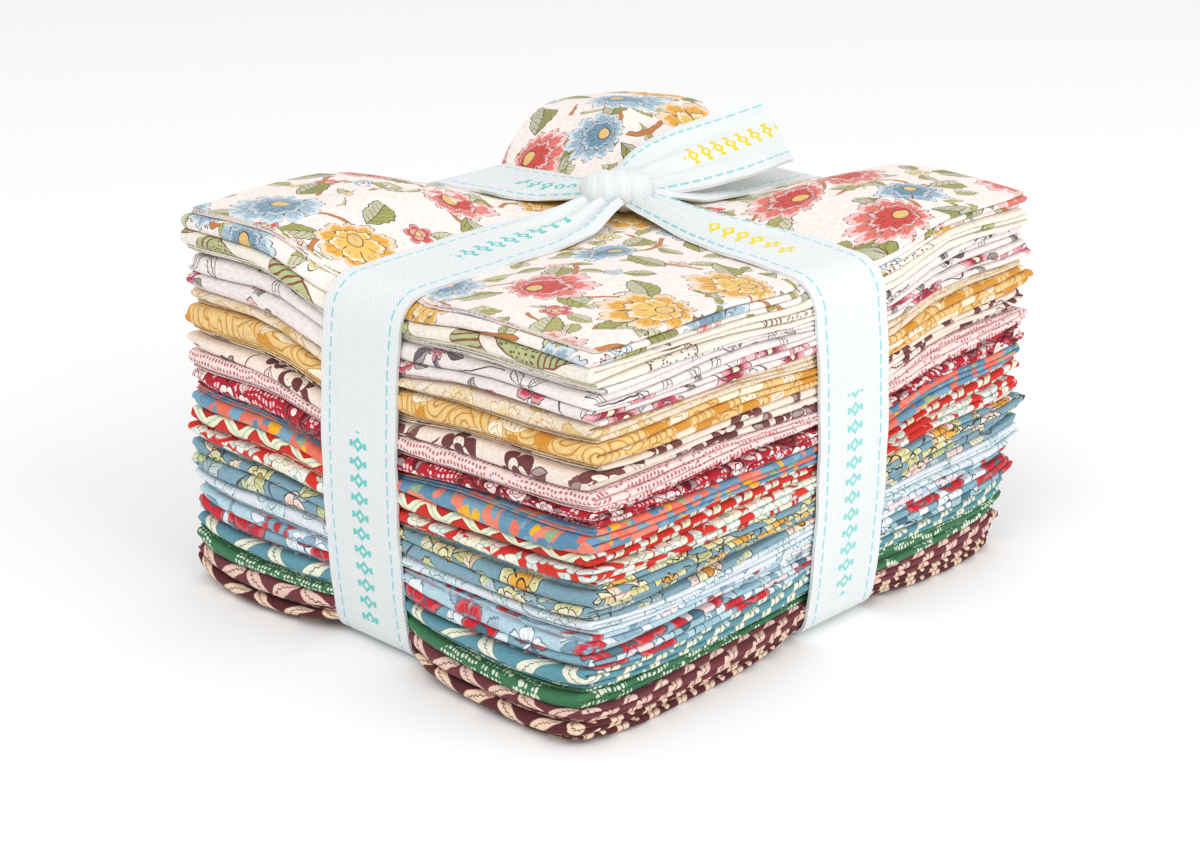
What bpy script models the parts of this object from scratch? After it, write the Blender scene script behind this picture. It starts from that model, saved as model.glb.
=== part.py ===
"""Fat quarter bundle: a stack of folded printed cottons tied crosswise with a woven tape.

Each cut of cloth, 457 by 533 mm, is folded in quarters to a strip and the strip is folded
back and forth in thirds, so it lies as three layers joined by two folds.  The tape goes
round the stack both ways, presses a cross into it and is tied on top.

X runs along the folded length, Y along the folded width and Z is up.  The bundle rests on
Z = 0 with its middle over the origin.  Sizes are in millimetres, and become metres when a
mesh is made.
"""

import math

import bpy
from mathutils import Vector

MM = 0.001
ROUNDING = 0.01

# Folded cloth
CUT_LENGTH = 457.0
CUT_WIDTH = 533.0
FOLDED_LENGTH = CUT_LENGTH / 3
FOLDED_WIDTH = CUT_WIDTH / 4
HALF_X = FOLDED_LENGTH / 2
HALF_Y = FOLDED_WIDTH / 2
LAYER_GAP = 0.25
CLOTH_GAP = 0.35
SHOULDER = 1.0
HOLLOW = 0.4
TURN_FLAT = 0.55
EDGE_ROUND = 0.7
CORNER_IN = 1.2
FREE_END_IN = 1.4

# Tape
TAPE_WIDTH = 25.4
TAPE_THICK = 1.0
TAPE_GAP = 0.3
TAPE_X = 9.5
TAPE_Y = 4.5
PRESSED_HALF = TAPE_WIDTH / 2 + 1.3
PRESSED_IN = 0.8
TOP_BEND = 2.5
BOTTOM_BEND = 2.5
ARC_STEPS = 4

# Outer shape of the tied stack
TAPE_TOP = 89.5
CHANNEL = TAPE_THICK + 2 * TAPE_GAP + 0.1
EDGE_DROOP = 1.2
LOBE_CROWN = {(-1, -1): 3.5, (-1, 1): 10.0, (1, -1): 9.0, (1, 1): 16.0}
CREST = 0.36
LOBE_EDGE = 0.78
PLUMP = 1.6

# One row for each cut, from the bottom of the stack.  pitch is its share of the height.
# wrap says which two layers the fold at -X joins.  The next four say how far its ends lie
# beyond the even size, and turn is how far it is turned, in mm over 100 mm.
COLUMNS = ("name", "pitch", "wrap", "left", "right", "front", "back", "turn", "colour")
CUTS = (
    ("plum_band_lower", 4.2, "upper", 2.8, -0.6, -1.8, 1.8, 0.0, "5C2A2E"),
    ("plum_band_upper", 4.2, "upper", 2.2, 0.0, -1.0, 1.0, 0.4, "66303A"),
    ("green_frond", 4.1, "lower", 1.0, -0.8, -1.6, 1.0, -0.5, "3F6B52"),
    ("teal_leaf_band", 4.8, "upper", 2.0, 0.4, 0.0, 0.8, 0.5, "5E8A96"),
    ("sky_bloom_lower", 3.9, "upper", 0.6, 0.2, 0.8, 1.2, -0.2, "A9C3D2"),
    ("sky_bloom_upper", 3.9, "lower", 1.0, -0.4, -0.2, 0.4, 0.4, "B6CCD8"),
    ("pale_outline", 4.1, "upper", 0.0, 0.8, 0.6, 0.2, -0.3, "E4EAF0"),
    ("slate_bud", 3.9, "upper", 1.0, 0.4, -0.4, 1.0, 0.2, "8FA8B4"),
    ("slate_leaf", 3.9, "lower", 0.4, 0.2, 1.8, 0.2, 0.0, "7F9CAB"),
    ("red_blossom", 4.1, "upper", 1.0, 1.0, 0.2, 0.6, 0.4, "B8323A"),
    ("red_scallop", 4.1, "upper", 0.0, 0.6, -0.6, 0.0, -0.2, "C64545"),
    ("slate_coral", 4.7, "lower", 0.4, 0.2, 0.8, 0.4, 0.5, "6E8CA5"),
    ("crimson_blossom", 4.9, "upper", -0.6, 1.4, -0.2, -0.4, -0.4, "9E2436"),
    ("rose_dot", 4.0, "upper", 0.4, 1.6, 0.6, 0.6, 0.1, "F0DBD6"),
    ("plum_blossom", 5.4, "lower", -0.4, 0.8, -0.4, -0.2, 0.3, "EBDCCB"),
    ("ochre_scroll", 5.2, "upper", 0.6, 2.8, 0.8, 0.4, 0.0, "D3A765"),
    ("tan_line", 3.9, "upper", -1.0, 0.4, -0.8, 0.0, 0.2, "E9DCC8"),
    ("red_flower", 4.1, "upper", 0.0, 1.2, 0.4, -0.6, -0.2, "EEE6EA"),
    ("dark_sprig", 4.3, "lower", -0.8, 0.6, -0.2, 0.6, 0.5, "F1EEEC"),
    ("ringed_leaf", 4.7, "upper", 0.6, 0.2, 0.6, 0.0, -0.4, "E8E0C8"),
    ("ivory_floral", 4.1, "lower", -0.6, 0.4, -0.6, -0.4, 0.3, "F3E9DF"),
)
FLAT_HEIGHT = sum(cut[1] for cut in CUTS)

# Route of the tape on top, from where it lies flat to the knot: how far out from the
# middle of the knot, how high over the pressed top, and how wide it is there
ARM_COLUMNS = ("out", "rise", "width")
ARM = (
    (30.0, 0.0, 25.4),
    (20.0, 0.7, 22.0),
    (12.0, 2.4, 16.0),
    (5.0, 3.8, 11.0),
)
KNOT = {"centre": (8.0, 5.5, 94.8), "half": (10.5, 7.0, 4.4), "turn": -0.80}

# The free end: middle line and the direction across, and the slant of its cut
TAIL_COLUMNS = ("x", "y", "z", "across_y", "across_z", "width")
TAIL = (
    (10.0, 4.8, 96.0, 0.85, 0.53, 9.0),
    (18.0, 4.4, 97.6, 0.88, 0.48, 15.0),
    (28.0, 3.6, 98.6, 0.91, 0.41, 21.0),
    (40.0, 2.6, 99.4, 0.93, 0.37, 24.6),
    (52.0, 1.6, 100.4, 0.94, 0.34, 25.4),
    (63.0, 0.6, 101.6, 0.94, 0.34, 25.4),
)
TAIL_SLANT = 7.0


def row(columns, values):
    """One row of a table as a dictionary of its named columns."""
    return dict(zip(columns, values))


def flat(share):
    """Share of what the tape presses: 1 under it, and 0 from the crest outwards."""
    return min(max(1.0 - share / CREST, 0.0), 1.0)


def outer(share):
    """Share of the way from the crest that a point has gone: 0 there, 1 at the edge."""
    return max((share - CREST) / (1.0 - CREST), 0.0)


def swell(share):
    """Rise of a lobe: none at the tape, whole at the crest, and less at the edge."""
    return 1.0 - flat(share) + (LOBE_EDGE - 1.0) * outer(share)


def beyond(value, middle, half):
    """Side of the tape that a point is on, and its share of the way to the edge."""
    side = 1 if value > middle else -1
    start = middle + side * PRESSED_HALF
    return side, side * (value - start) / (half - side * start)


def top_height(x, y):
    """Height of the stack's top: pressed by the tape, with a pillow in each quarter."""
    side_x, share_x = beyond(x, TAPE_X, HALF_X)
    side_y, share_y = beyond(y, TAPE_Y, HALF_Y)
    lobe = LOBE_CROWN[side_x, side_y] * swell(share_x) * swell(share_y)
    droop = outer(share_x) * flat(share_y) + outer(share_y) * flat(share_x)
    return TAPE_TOP + lobe - EDGE_DROOP * droop


def bottom_height(x, y):
    """Height of the stack's underside: flat on the ground but for the tape's channels."""
    share_x = beyond(x, TAPE_X, HALF_X)[1]
    share_y = beyond(y, TAPE_Y, HALF_Y)[1]
    return CHANNEL * (flat(share_x) + flat(share_y))


def place(x, y, level):
    """Point of the tied stack for a place and a level, 0 to FLAT_HEIGHT, of the flat one."""
    low = bottom_height(x, y)
    return Vector((x, y, low + (top_height(x, y) - low) * level / FLAT_HEIGHT))


def bend_in(level):
    """How far the tape's bends push a cloth in where it lies near the top or the bottom."""
    inset = 0.0
    for depth, radius in ((FLAT_HEIGHT - level, TOP_BEND), (level, BOTTOM_BEND)):
        reach = max(radius - depth, 0.0)
        inset = max(inset, radius - math.sqrt(max(radius ** 2 - reach ** 2, 0.0)))
    return inset


def end_place(even, extra, pressed, low, high, shoulder):
    """Distance from the middle at which layers between two levels end.

    shoulder is how far an end is already rounded, which leaves the tape's bend room.
    """
    distance = even + extra
    if not pressed:
        return distance + PLUMP
    inset = max(bend_in(low), bend_in(high))
    return min(distance, even - PRESSED_IN - max(inset - shoulder, 0.0))


def stations(middle, half):
    """Places along one axis that every cloth shares: the crests and the tape's edges."""
    before = middle - PRESSED_HALF
    after = middle + PRESSED_HALF
    first_crest = before - CREST * (before + half)
    last_crest = after + CREST * (half - after)
    return [first_crest, before, after, last_crest]


def is_pressed(value, middle):
    """Whether a place along one axis lies under the tape."""
    return abs(value - middle) <= PRESSED_HALF + ROUNDING


class FoldedCut:
    """One cut of cloth, as a back-and-forth section of three layers carried along Y."""

    def __init__(self, cut, base):
        """Take the table's row and the level at which the cut lies."""
        self.cut = cut
        self.layer = (cut["pitch"] - CLOTH_GAP - 2 * LAYER_GAP) / 3
        self.base = base
        # The section is drawn with its lower fold at -X, and mirrored for the other way
        self.facing = 1 if cut["wrap"] == "lower" else -1
        self.along_x = stations(TAPE_X, HALF_X)
        self.along_y = stations(TAPE_Y, HALF_Y)

    def layer_levels(self, index, fullness):
        """Lower and upper level of a layer, thinned at a rounded edge."""
        low = self.base + index * (self.layer + LAYER_GAP)
        middle = low + self.layer / 2
        reach = fullness * self.layer / 2
        return middle - reach, middle + reach

    def end_x(self, side, y, low, high, free):
        """X at which layers end on one side, with the cut's own unevenness."""
        extra = self.cut["left"] if side < 0 else self.cut["right"]
        extra += side * self.cut["turn"] * y / 100
        if free:
            extra -= FREE_END_IN
        if abs(y) > HALF_Y - SHOULDER:
            extra -= CORNER_IN
        shoulder = 0.0 if free else SHOULDER
        return side * end_place(HALF_X, extra, is_pressed(y, TAPE_Y), low, high, shoulder)

    def section(self, y, fullness):
        """Outline of the section as (x, level), with the quads and triangles of its cap."""
        thick = self.layer * fullness
        spare = (self.layer - thick) / 2
        levels = [self.layer_levels(index, fullness) for index in range(3)]
        near, far = -self.facing, self.facing
        fold_near = self.end_x(near, y, levels[0][0], levels[1][1], False)
        fold_far = self.end_x(far, y, levels[1][0], levels[2][1], False)
        free_far = self.end_x(far, y, levels[0][0], levels[0][1], True)
        free_near = self.end_x(near, y, levels[2][0], levels[2][1], True)
        between = sorted(self.along_x, key=lambda x: x * self.facing)

        def face(level, start, stop):
            """One face of a layer, from its near end to its far end."""
            return [(x, level) for x in [start] + between + [stop]]

        shoulder = SHOULDER * self.facing
        hollow = (self.layer + HOLLOW) * self.facing
        bottom_1 = face(levels[0][0], fold_near + shoulder, free_far)
        top_1 = face(levels[0][1], fold_near + hollow, free_far)
        bottom_2 = face(levels[1][0], fold_near + hollow, fold_far - shoulder)
        top_2 = face(levels[1][1], fold_near + shoulder, fold_far - hollow)
        bottom_3 = face(levels[2][0], free_near, fold_far - hollow)
        top_3 = face(levels[2][1], free_near, fold_far - shoulder)

        def turn(fold, facing, low, high):
            """Two outer points and the inner point of a fold between two levels."""
            middle = (low + high) / 2
            reach = TURN_FLAT * (high - low) / 2
            rim = fold + spare * facing
            core = fold + (self.layer - spare) * facing
            return (rim, middle - reach), (rim, middle + reach), (core, middle)

        near_low, near_high, near_core = turn(fold_near, self.facing, levels[0][0], levels[1][1])
        far_low, far_high, far_core = turn(fold_far, -self.facing, levels[1][0], levels[2][1])
        outline = bottom_1 + top_1[::-1] + [near_core] + bottom_2 + [far_low, far_high]
        outline += top_3[::-1] + bottom_3 + [far_core] + top_2[::-1] + [near_high, near_low]
        place_of = {point: index for index, point in enumerate(outline)}
        ladder = []
        for lower, upper in ((bottom_1, top_1), (bottom_2, top_2), (bottom_3, top_3)):
            for step in range(len(lower) - 1):
                ladder.append((lower[step], lower[step + 1], upper[step + 1], upper[step]))
        ladder += [
            (near_low, bottom_1[0], top_1[0], near_core),
            (near_low, near_core, near_high),
            (near_high, near_core, bottom_2[0], top_2[0]),
            (bottom_2[-1], far_low, far_core, top_2[-1]),
            (far_low, far_high, far_core),
            (far_core, far_high, top_3[-1], bottom_3[-1]),
        ]
        caps = [[place_of[point] for point in polygon] for polygon in ladder]
        return outline, caps

    def end_y(self, side, x, level):
        """Y of the folded edge at -Y or the other edge at +Y, for one point."""
        extra = self.cut["front"] if side < 0 else self.cut["back"]
        extra += side * self.cut["turn"] * x / 100
        return side * end_place(HALF_Y, extra, is_pressed(x, TAPE_X), level, level, 0.0)

    def build(self):
        """Vertices and triangles of the closed solid, facing outwards."""
        rings = [(-HALF_Y, 0.5), (-HALF_Y + EDGE_ROUND, 1.0)]
        rings += [(y, 1.0) for y in self.along_y]
        rings.append((HALF_Y, 1.0))
        points = []
        for order, (y, fullness) in enumerate(rings):
            outline, caps = self.section(y, fullness)
            for x, level in outline:
                here = y
                if order < 2:
                    here = self.end_y(-1, x, level) + order * EDGE_ROUND
                if order == len(rings) - 1:
                    here = self.end_y(1, x, level)
                points.append(place(x, here, level))
        count = len(outline)
        triangles = []
        for ring in range(len(rings) - 1):
            for step in range(count):
                after = (step + 1) % count
                a, b = ring * count + step, ring * count + after
                c, d = b + count, a + count
                # Every level face is cut along the same diagonal, so neighbours nest
                if outline[after][0] > outline[step][0]:
                    triangles += [(a, b, c), (a, c, d)]
                else:
                    triangles += [(a, b, d), (b, c, d)]
        last = (len(rings) - 1) * count
        for polygon in caps:
            for step in range(1, len(polygon) - 1):
                corner = (polygon[0], polygon[step], polygon[step + 1])
                triangles.append(corner[::-1])
                triangles.append(tuple(last + index for index in corner))
        if self.facing > 0:
            triangles = [triangle[::-1] for triangle in triangles]
        return points, triangles


def arc(corner, start, stop, radius):
    """Points of a round bend at a corner between two straight runs, in one plane."""
    to_start = (Vector(start) - Vector(corner)).normalized()
    to_stop = (Vector(stop) - Vector(corner)).normalized()
    half = to_start.angle(to_stop) / 2
    centre = Vector(corner) + (to_start + to_stop).normalized() * radius / math.sin(half)
    first = (Vector(corner) + to_start * radius / math.tan(half) - centre).normalized()
    last = (Vector(corner) + to_stop * radius / math.tan(half) - centre).normalized()
    shares = [step / ARC_STEPS for step in range(ARC_STEPS + 1)]
    return [centre + radius * first.slerp(last, share) for share in shares]


def wrap_route(knot, half, low_points):
    """Middle line of one wrap as (along, height, width), from knot to knot round the stack."""
    reach = TAPE_GAP + TAPE_THICK / 2
    side = half - PRESSED_IN + reach
    top = TAPE_TOP + reach
    arms = [row(ARM_COLUMNS, values) for values in ARM]
    route = []
    for arm in arms[::-1]:
        route.append((knot - arm["out"], top + arm["rise"], arm["width"]))
    first_top, last_top = (low_points[0][0], top), (low_points[-1][0], top)
    edge = top - EDGE_DROOP
    corners = [(-side, edge), (-side, low_points[0][1]), (side, low_points[-1][1]), (side, edge)]
    bends = [
        [Vector(first_top)],
        arc(corners[0], first_top, corners[1], TOP_BEND + reach),
        arc(corners[1], corners[0], low_points[0], BOTTOM_BEND + reach),
        [Vector(point) for point in low_points],
        arc(corners[2], low_points[-1], corners[3], BOTTOM_BEND + reach),
        arc(corners[3], corners[2], last_top, TOP_BEND + reach),
        [Vector(last_top)],
    ]
    for bend in bends:
        route += [(point.x, point.y, TAPE_WIDTH) for point in bend]
    for arm in arms:
        route.append((knot + arm["out"], top + arm["rise"], arm["width"]))
    return route


def strip_mesh(frames):
    """Closed strip from (middle, across, up, width, slant) frames, as points and faces."""
    points = []
    for middle, across, up, width, slant in frames:
        for side, height in ((-1, -1), (1, -1), (1, 1), (-1, 1)):
            offset = across * (side * width / 2) + up * (height * TAPE_THICK / 2)
            points.append(middle + offset + slant * side)
    faces = []
    for ring in range(len(frames) - 1):
        for step in range(4):
            a, b = ring * 4 + step, ring * 4 + (step + 1) % 4
            faces.append((a, b, b + 4, a + 4))
    last = (len(frames) - 1) * 4
    faces.append((3, 2, 1, 0))
    faces.append((last, last + 1, last + 2, last + 3))
    return points, faces


def route_frames(route, to_space, across):
    """Frames along a flat route: its points in space, with the strip's way up."""
    middles = [to_space(along, height) for along, height, _ in route]
    frames = []
    for index, middle in enumerate(middles):
        before = middles[max(index - 1, 0)]
        after = middles[min(index + 1, len(middles) - 1)]
        up = (after - before).normalized().cross(across)
        frames.append((middle, across, up, route[index][2], Vector((0, 0, 0))))
    return frames


def make_object(name, points, faces, colour):
    """Object from points in millimetres, with its material."""
    mesh = bpy.data.meshes.new(name)
    mesh.from_pydata([tuple(point * MM for point in vertex) for vertex in points], [], faces)
    mesh.validate()
    item = bpy.data.objects.new(name, mesh)
    bpy.context.scene.collection.objects.link(item)
    mesh.materials.append(cloth_material(name, colour))
    return item


def linear(value):
    """One channel of an sRGB colour as linear light."""
    return value / 12.92 if value <= 0.04045 else ((value + 0.055) / 1.055) ** 2.4


def cloth_material(name, colour):
    """Matt woven cotton of one colour, given as an sRGB hex value."""
    material = bpy.data.materials.new(name)
    material.use_nodes = True
    shader = material.node_tree.nodes["Principled BSDF"]
    channels = [int(colour[start:start + 2], 16) / 255 for start in (0, 2, 4)]
    shader.inputs["Base Color"].default_value = (*[linear(value) for value in channels], 1.0)
    shader.inputs["Roughness"].default_value = 0.85
    shader.inputs["Metallic"].default_value = 0.0
    return material


def build_stack():
    """All the folded cuts, from the bottom up."""
    level = 0.0
    for number, values in enumerate(CUTS):
        cut = row(COLUMNS, values)
        points, triangles = FoldedCut(cut, level).build()
        place_in_stack = len(CUTS) - number
        make_object(f"cut_{place_in_stack:02d}_{cut['name']}", points, triangles, cut["colour"])
        level += cut["pitch"]


def knot_mesh():
    """Rounded knot, longer one way, turned about Z."""
    centre, half, turn = Vector(KNOT["centre"]), KNOT["half"], KNOT["turn"]
    around, up = 16, 8
    points = [centre - Vector((0, 0, half[2]))]
    for ring in range(1, up):
        tilt = math.pi * ring / up - math.pi / 2
        for step in range(around):
            angle = 2 * math.pi * step / around
            x = half[0] * math.cos(tilt) * math.cos(angle)
            y = half[1] * math.cos(tilt) * math.sin(angle)
            spot = Vector((
                x * math.cos(turn) - y * math.sin(turn),
                x * math.sin(turn) + y * math.cos(turn),
                half[2] * math.sin(tilt),
            ))
            points.append(centre + spot)
    points.append(centre + Vector((0, 0, half[2])))
    faces = []
    last = len(points) - 1
    for step in range(around):
        after = (step + 1) % around
        faces.append((0, 1 + after, 1 + step))
        faces.append((last, last - around + step, last - around + after))
        for ring in range(up - 2):
            a, b = 1 + ring * around + step, 1 + ring * around + after
            faces.append((a, b, b + around, a + around))
    return points, faces


def build_tape():
    """The tape: two wraps and a free end, fused where they meet in the knot."""
    reach = TAPE_GAP + TAPE_THICK / 2
    low = CHANNEL - reach
    crossing = 2 * CHANNEL - reach
    along_x, along_y = stations(TAPE_X, HALF_X), stations(TAPE_Y, HALF_Y)
    knot_x, knot_y = KNOT["centre"][0], KNOT["centre"][1]
    wrap_x = wrap_route(knot_x, HALF_X, [(along_x[0], low), (along_x[3], low)])
    heights = [low, crossing, crossing, low]
    wrap_y = wrap_route(knot_y, HALF_Y, list(zip(along_y, heights)))
    frames_x = route_frames(wrap_x, lambda x, z: Vector((x, TAPE_Y, z)), Vector((0, -1, 0)))
    frames_y = route_frames(wrap_y, lambda y, z: Vector((TAPE_X, y, z)), Vector((1, 0, 0)))
    tail = [row(TAIL_COLUMNS, values) for values in TAIL]
    middles = [Vector((point["x"], point["y"], point["z"])) for point in tail]
    frames_tail = []
    for index, point in enumerate(tail):
        across = Vector((0, point["across_y"], point["across_z"])).normalized()
        before = middles[max(index - 1, 0)]
        after = middles[min(index + 1, len(middles) - 1)]
        up = (after - before).normalized().cross(across).normalized()
        slant = Vector((TAIL_SLANT, 0, 0)) if index == len(tail) - 1 else Vector((0, 0, 0))
        frames_tail.append((middles[index], across, up, point["width"], slant))
    tape = make_object("tape", *knot_mesh(), "F4F4F2")
    for label, frames in (("wrap_x", frames_x), ("wrap_y", frames_y), ("tail", frames_tail)):
        piece = make_object(f"tape_{label}", *strip_mesh(frames), "F4F4F2")
        piece.hide_render = True
        piece.display_type = "WIRE"
        union = tape.modifiers.new(label, "BOOLEAN")
        union.operation = "UNION"
        union.object = piece


def main():
    """Empty the scene and build the bundle."""
    for item in list(bpy.data.objects):
        bpy.data.objects.remove(item, do_unlink=True)
    build_stack()
    build_tape()


main()
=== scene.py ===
"""Fat quarter bundle: how the stack of folded printed cottons and its tape look.

Every cut is one thin sheet of quilting cotton, 457 by 533 mm, that runs through all its
folds: twice in half to a strip, and the strip back and forth in thirds.  The tape is a
pleated band round the stack both ways, with a wrapped knot and a free end.  Sizes are in
millimetres until a mesh is made.  X runs along the folded length, Y along the folded width.
"""

import logging
import math
from dataclasses import dataclass
from enum import Enum

import bpy
import numpy as np
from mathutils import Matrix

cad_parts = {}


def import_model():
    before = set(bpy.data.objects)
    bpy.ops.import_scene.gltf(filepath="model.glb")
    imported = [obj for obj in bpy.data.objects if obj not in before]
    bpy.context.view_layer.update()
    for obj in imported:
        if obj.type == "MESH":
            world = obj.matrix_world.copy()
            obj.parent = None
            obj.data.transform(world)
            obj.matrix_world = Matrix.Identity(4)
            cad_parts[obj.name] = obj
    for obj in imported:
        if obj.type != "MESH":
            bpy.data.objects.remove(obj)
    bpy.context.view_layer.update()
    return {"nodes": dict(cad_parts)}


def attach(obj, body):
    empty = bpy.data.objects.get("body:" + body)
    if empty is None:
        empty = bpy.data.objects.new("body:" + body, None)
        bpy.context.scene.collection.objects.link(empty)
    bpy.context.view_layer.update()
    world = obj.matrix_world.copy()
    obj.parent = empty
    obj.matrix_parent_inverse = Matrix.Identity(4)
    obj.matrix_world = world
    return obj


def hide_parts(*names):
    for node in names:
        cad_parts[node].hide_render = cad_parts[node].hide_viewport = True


MM = 0.001
LOG = logging.getLogger("bundle")
Row = tuple
Array = np.ndarray


# Colours and nodes


def linear(colour: str, alpha: float = 1.0) -> Row:
    """Turn an sRGB hex colour into linear light.

    Args:
        colour: six hex digits.
        alpha: opacity to add.

    Returns:
        Red, green, blue and alpha.
    """
    channels = [int(colour[start:start + 2], 16) / 255 for start in (0, 2, 4)]
    light = [c / 12.92 if c <= 0.04045 else ((c + 0.055) / 1.055) ** 2.4 for c in channels]
    return (*light, alpha)


def add_node(tree: bpy.types.NodeTree, kind: str, inputs: dict, **settings) -> bpy.types.Node:
    """Add a node with its settings, and link or fill its inputs.

    Args:
        tree: the material's node tree.
        kind: the node's type, without its leading "ShaderNode".
        inputs: by name or number, a Field to link or a plain value.
        settings: the node's own properties.

    Returns:
        The new node.
    """
    node = tree.nodes.new("ShaderNode" + kind)
    for name, value in settings.items():
        setattr(node, name, value)
    for name, value in inputs.items():
        if isinstance(value, Field):
            tree.links.new(value.socket, node.inputs[name])
        else:
            node.inputs[name].default_value = value
    return node


@dataclass(frozen=True)
class Field:
    """A number, place or colour that varies over a surface, as a socket of its material."""

    tree: bpy.types.NodeTree
    socket: bpy.types.NodeSocket

    def node(self, kind: str, inputs: dict, output: int | str = 0, **settings) -> "Field":
        """Give an output of a new node in this field's tree.

        Args:
            kind: the node's type, without its leading "ShaderNode".
            inputs: by name or number, what goes into it.
            output: which output is wanted.
            settings: the node's own properties.

        Returns:
            That output as a field.
        """
        return Field(self.tree, add_node(self.tree, kind, inputs, **settings).outputs[output])

    def math(self, operation: str, *values: "Field | float") -> "Field":
        """Put this number through a sum, with the other numbers that it takes."""
        return self.node("Math", dict(enumerate((self, *values))), operation=operation)

    def place(self, operation: str, *values: "Field | Row", output: int = 0) -> "Field":
        """Put this place through a vector sum, with the other places that it takes."""
        inputs = dict(enumerate((self, *values)))
        return self.node("VectorMath", inputs, output, operation=operation)

    def __add__(self, other: "Field | float") -> "Field":
        """Sum."""
        return self.math("ADD", other)

    def __sub__(self, other: "Field | float") -> "Field":
        """Difference."""
        return self.math("SUBTRACT", other)

    def __rsub__(self, other: float) -> "Field":
        """Difference from a plain number."""
        return self.math("MULTIPLY", -1.0) + other

    def __mul__(self, other: "Field | float") -> "Field":
        """Product."""
        return self.math("MULTIPLY", other)

    def __rmul__(self, other: float) -> "Field":
        """Product with a plain number first."""
        return self.math("MULTIPLY", other)

    def __truediv__(self, other: "Field | float") -> "Field":
        """Quotient."""
        return self.math("DIVIDE", other)

    def __lt__(self, other: "Field | float") -> "Field":
        """1 where this is the smaller."""
        return self.math("LESS_THAN", other)

    def __gt__(self, other: "Field | float") -> "Field":
        """1 where this is the greater."""
        return self.math("GREATER_THAN", other)

    def __and__(self, other: "Field") -> "Field":
        """Both masks."""
        return self.math("MINIMUM", other)

    def __or__(self, other: "Field") -> "Field":
        """Either mask."""
        return self.math("MAXIMUM", other)

    def __abs__(self) -> "Field":
        """Size without its sign."""
        return self.math("ABSOLUTE")

    def beyond(self, period: float) -> "Field":
        """Distance from the middle of each repeat of this length."""
        return ((self / period).math("FRACT") - 0.5) * period

    def split(self) -> tuple["Field", "Field", "Field"]:
        """X, Y and Z of a place, or red, green and blue of a colour."""
        node = add_node(self.tree, "SeparateXYZ", {0: self})
        return tuple(Field(self.tree, socket) for socket in node.outputs)

    def even(self, colour: str) -> "Field":
        """One colour everywhere."""
        field = self.node("RGB", {})
        field.socket.default_value = linear(colour)
        return field

    def picked(self, colours: tuple) -> "Field":
        """Give each range of this random number its own colour.

        Args:
            colours: hex colours, each with an equal share of 0 to 1.

        Returns:
            The colour.
        """
        node = add_node(self.tree, "ValToRGB", {0: self})
        node.color_ramp.interpolation = "CONSTANT"
        stops = node.color_ramp.elements
        stops[0].color = linear(colours[0])
        stops.remove(stops[1])
        for order, colour in enumerate(colours[1:], 1):
            stops.new(order / len(colours)).color = linear(colour)
        return Field(self.tree, node.outputs[0])

    def under(self, mask: "Field | float", colour: "Field | str", kind: str = "MIX") -> "Field":
        """Lay another colour over this one where a mask says.

        Args:
            mask: 1 where the other colour shows.
            colour: the other colour, as a field or as hex.
            kind: how the two blend.

        Returns:
            The blended colour.
        """
        over = linear(colour) if isinstance(colour, str) else colour
        inputs = {0: mask, 6: self, 7: over}
        return self.node("Mix", inputs, 2, data_type="RGBA", blend_type=kind)


# Shape of the stack


@dataclass(frozen=True)
class Cut:
    """One row of the stack: a cut's share of the height and how its folded ends lie."""

    name: str
    pitch: float
    wrap: str
    left: float
    right: float
    front: float
    back: float
    turn: float


CUTS = (
    Cut("plum_band_lower", 4.2, "upper", 2.8, -0.6, -1.8, 1.8, 0.0),
    Cut("plum_band_upper", 4.2, "upper", 2.2, 0.0, -1.0, 1.0, 0.4),
    Cut("green_frond", 4.1, "lower", 1.0, -0.8, -1.6, 1.0, -0.5),
    Cut("teal_leaf_band", 4.8, "upper", 2.0, 0.4, 0.0, 0.8, 0.5),
    Cut("sky_bloom_lower", 3.9, "upper", 0.6, 0.2, 0.8, 1.2, -0.2),
    Cut("sky_bloom_upper", 3.9, "lower", 1.0, -0.4, -0.2, 0.4, 0.4),
    Cut("pale_outline", 4.1, "upper", 0.0, 0.8, 0.6, 0.2, -0.3),
    Cut("slate_bud", 3.9, "upper", 1.0, 0.4, -0.4, 1.0, 0.2),
    Cut("slate_leaf", 3.9, "lower", 0.4, 0.2, 1.8, 0.2, 0.0),
    Cut("red_blossom", 4.1, "upper", 1.0, 1.0, 0.2, 0.6, 0.4),
    Cut("red_scallop", 4.1, "upper", 0.0, 0.6, -0.6, 0.0, -0.2),
    Cut("slate_coral", 4.7, "lower", 0.4, 0.2, 0.8, 0.4, 0.5),
    Cut("crimson_blossom", 4.9, "upper", -0.6, 1.4, -0.2, -0.4, -0.4),
    Cut("rose_dot", 4.0, "upper", 0.4, 1.6, 0.6, 0.6, 0.1),
    Cut("plum_blossom", 5.4, "lower", -0.4, 0.8, -0.4, -0.2, 0.3),
    Cut("ochre_scroll", 5.2, "upper", 0.6, 2.8, 0.8, 0.4, 0.0),
    Cut("tan_line", 3.9, "upper", -1.0, 0.4, -0.8, 0.0, 0.2),
    Cut("red_flower", 4.1, "upper", 0.0, 1.2, 0.4, -0.6, -0.2),
    Cut("dark_sprig", 4.3, "lower", -0.8, 0.6, -0.2, 0.6, 0.5),
    Cut("ringed_leaf", 4.7, "upper", 0.6, 0.2, 0.6, 0.0, -0.4),
    Cut("ivory_floral", 4.1, "lower", -0.6, 0.4, -0.6, -0.4, 0.3),
)
CUT_LENGTH = 457.0
CUT_WIDTH = 533.0


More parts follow.
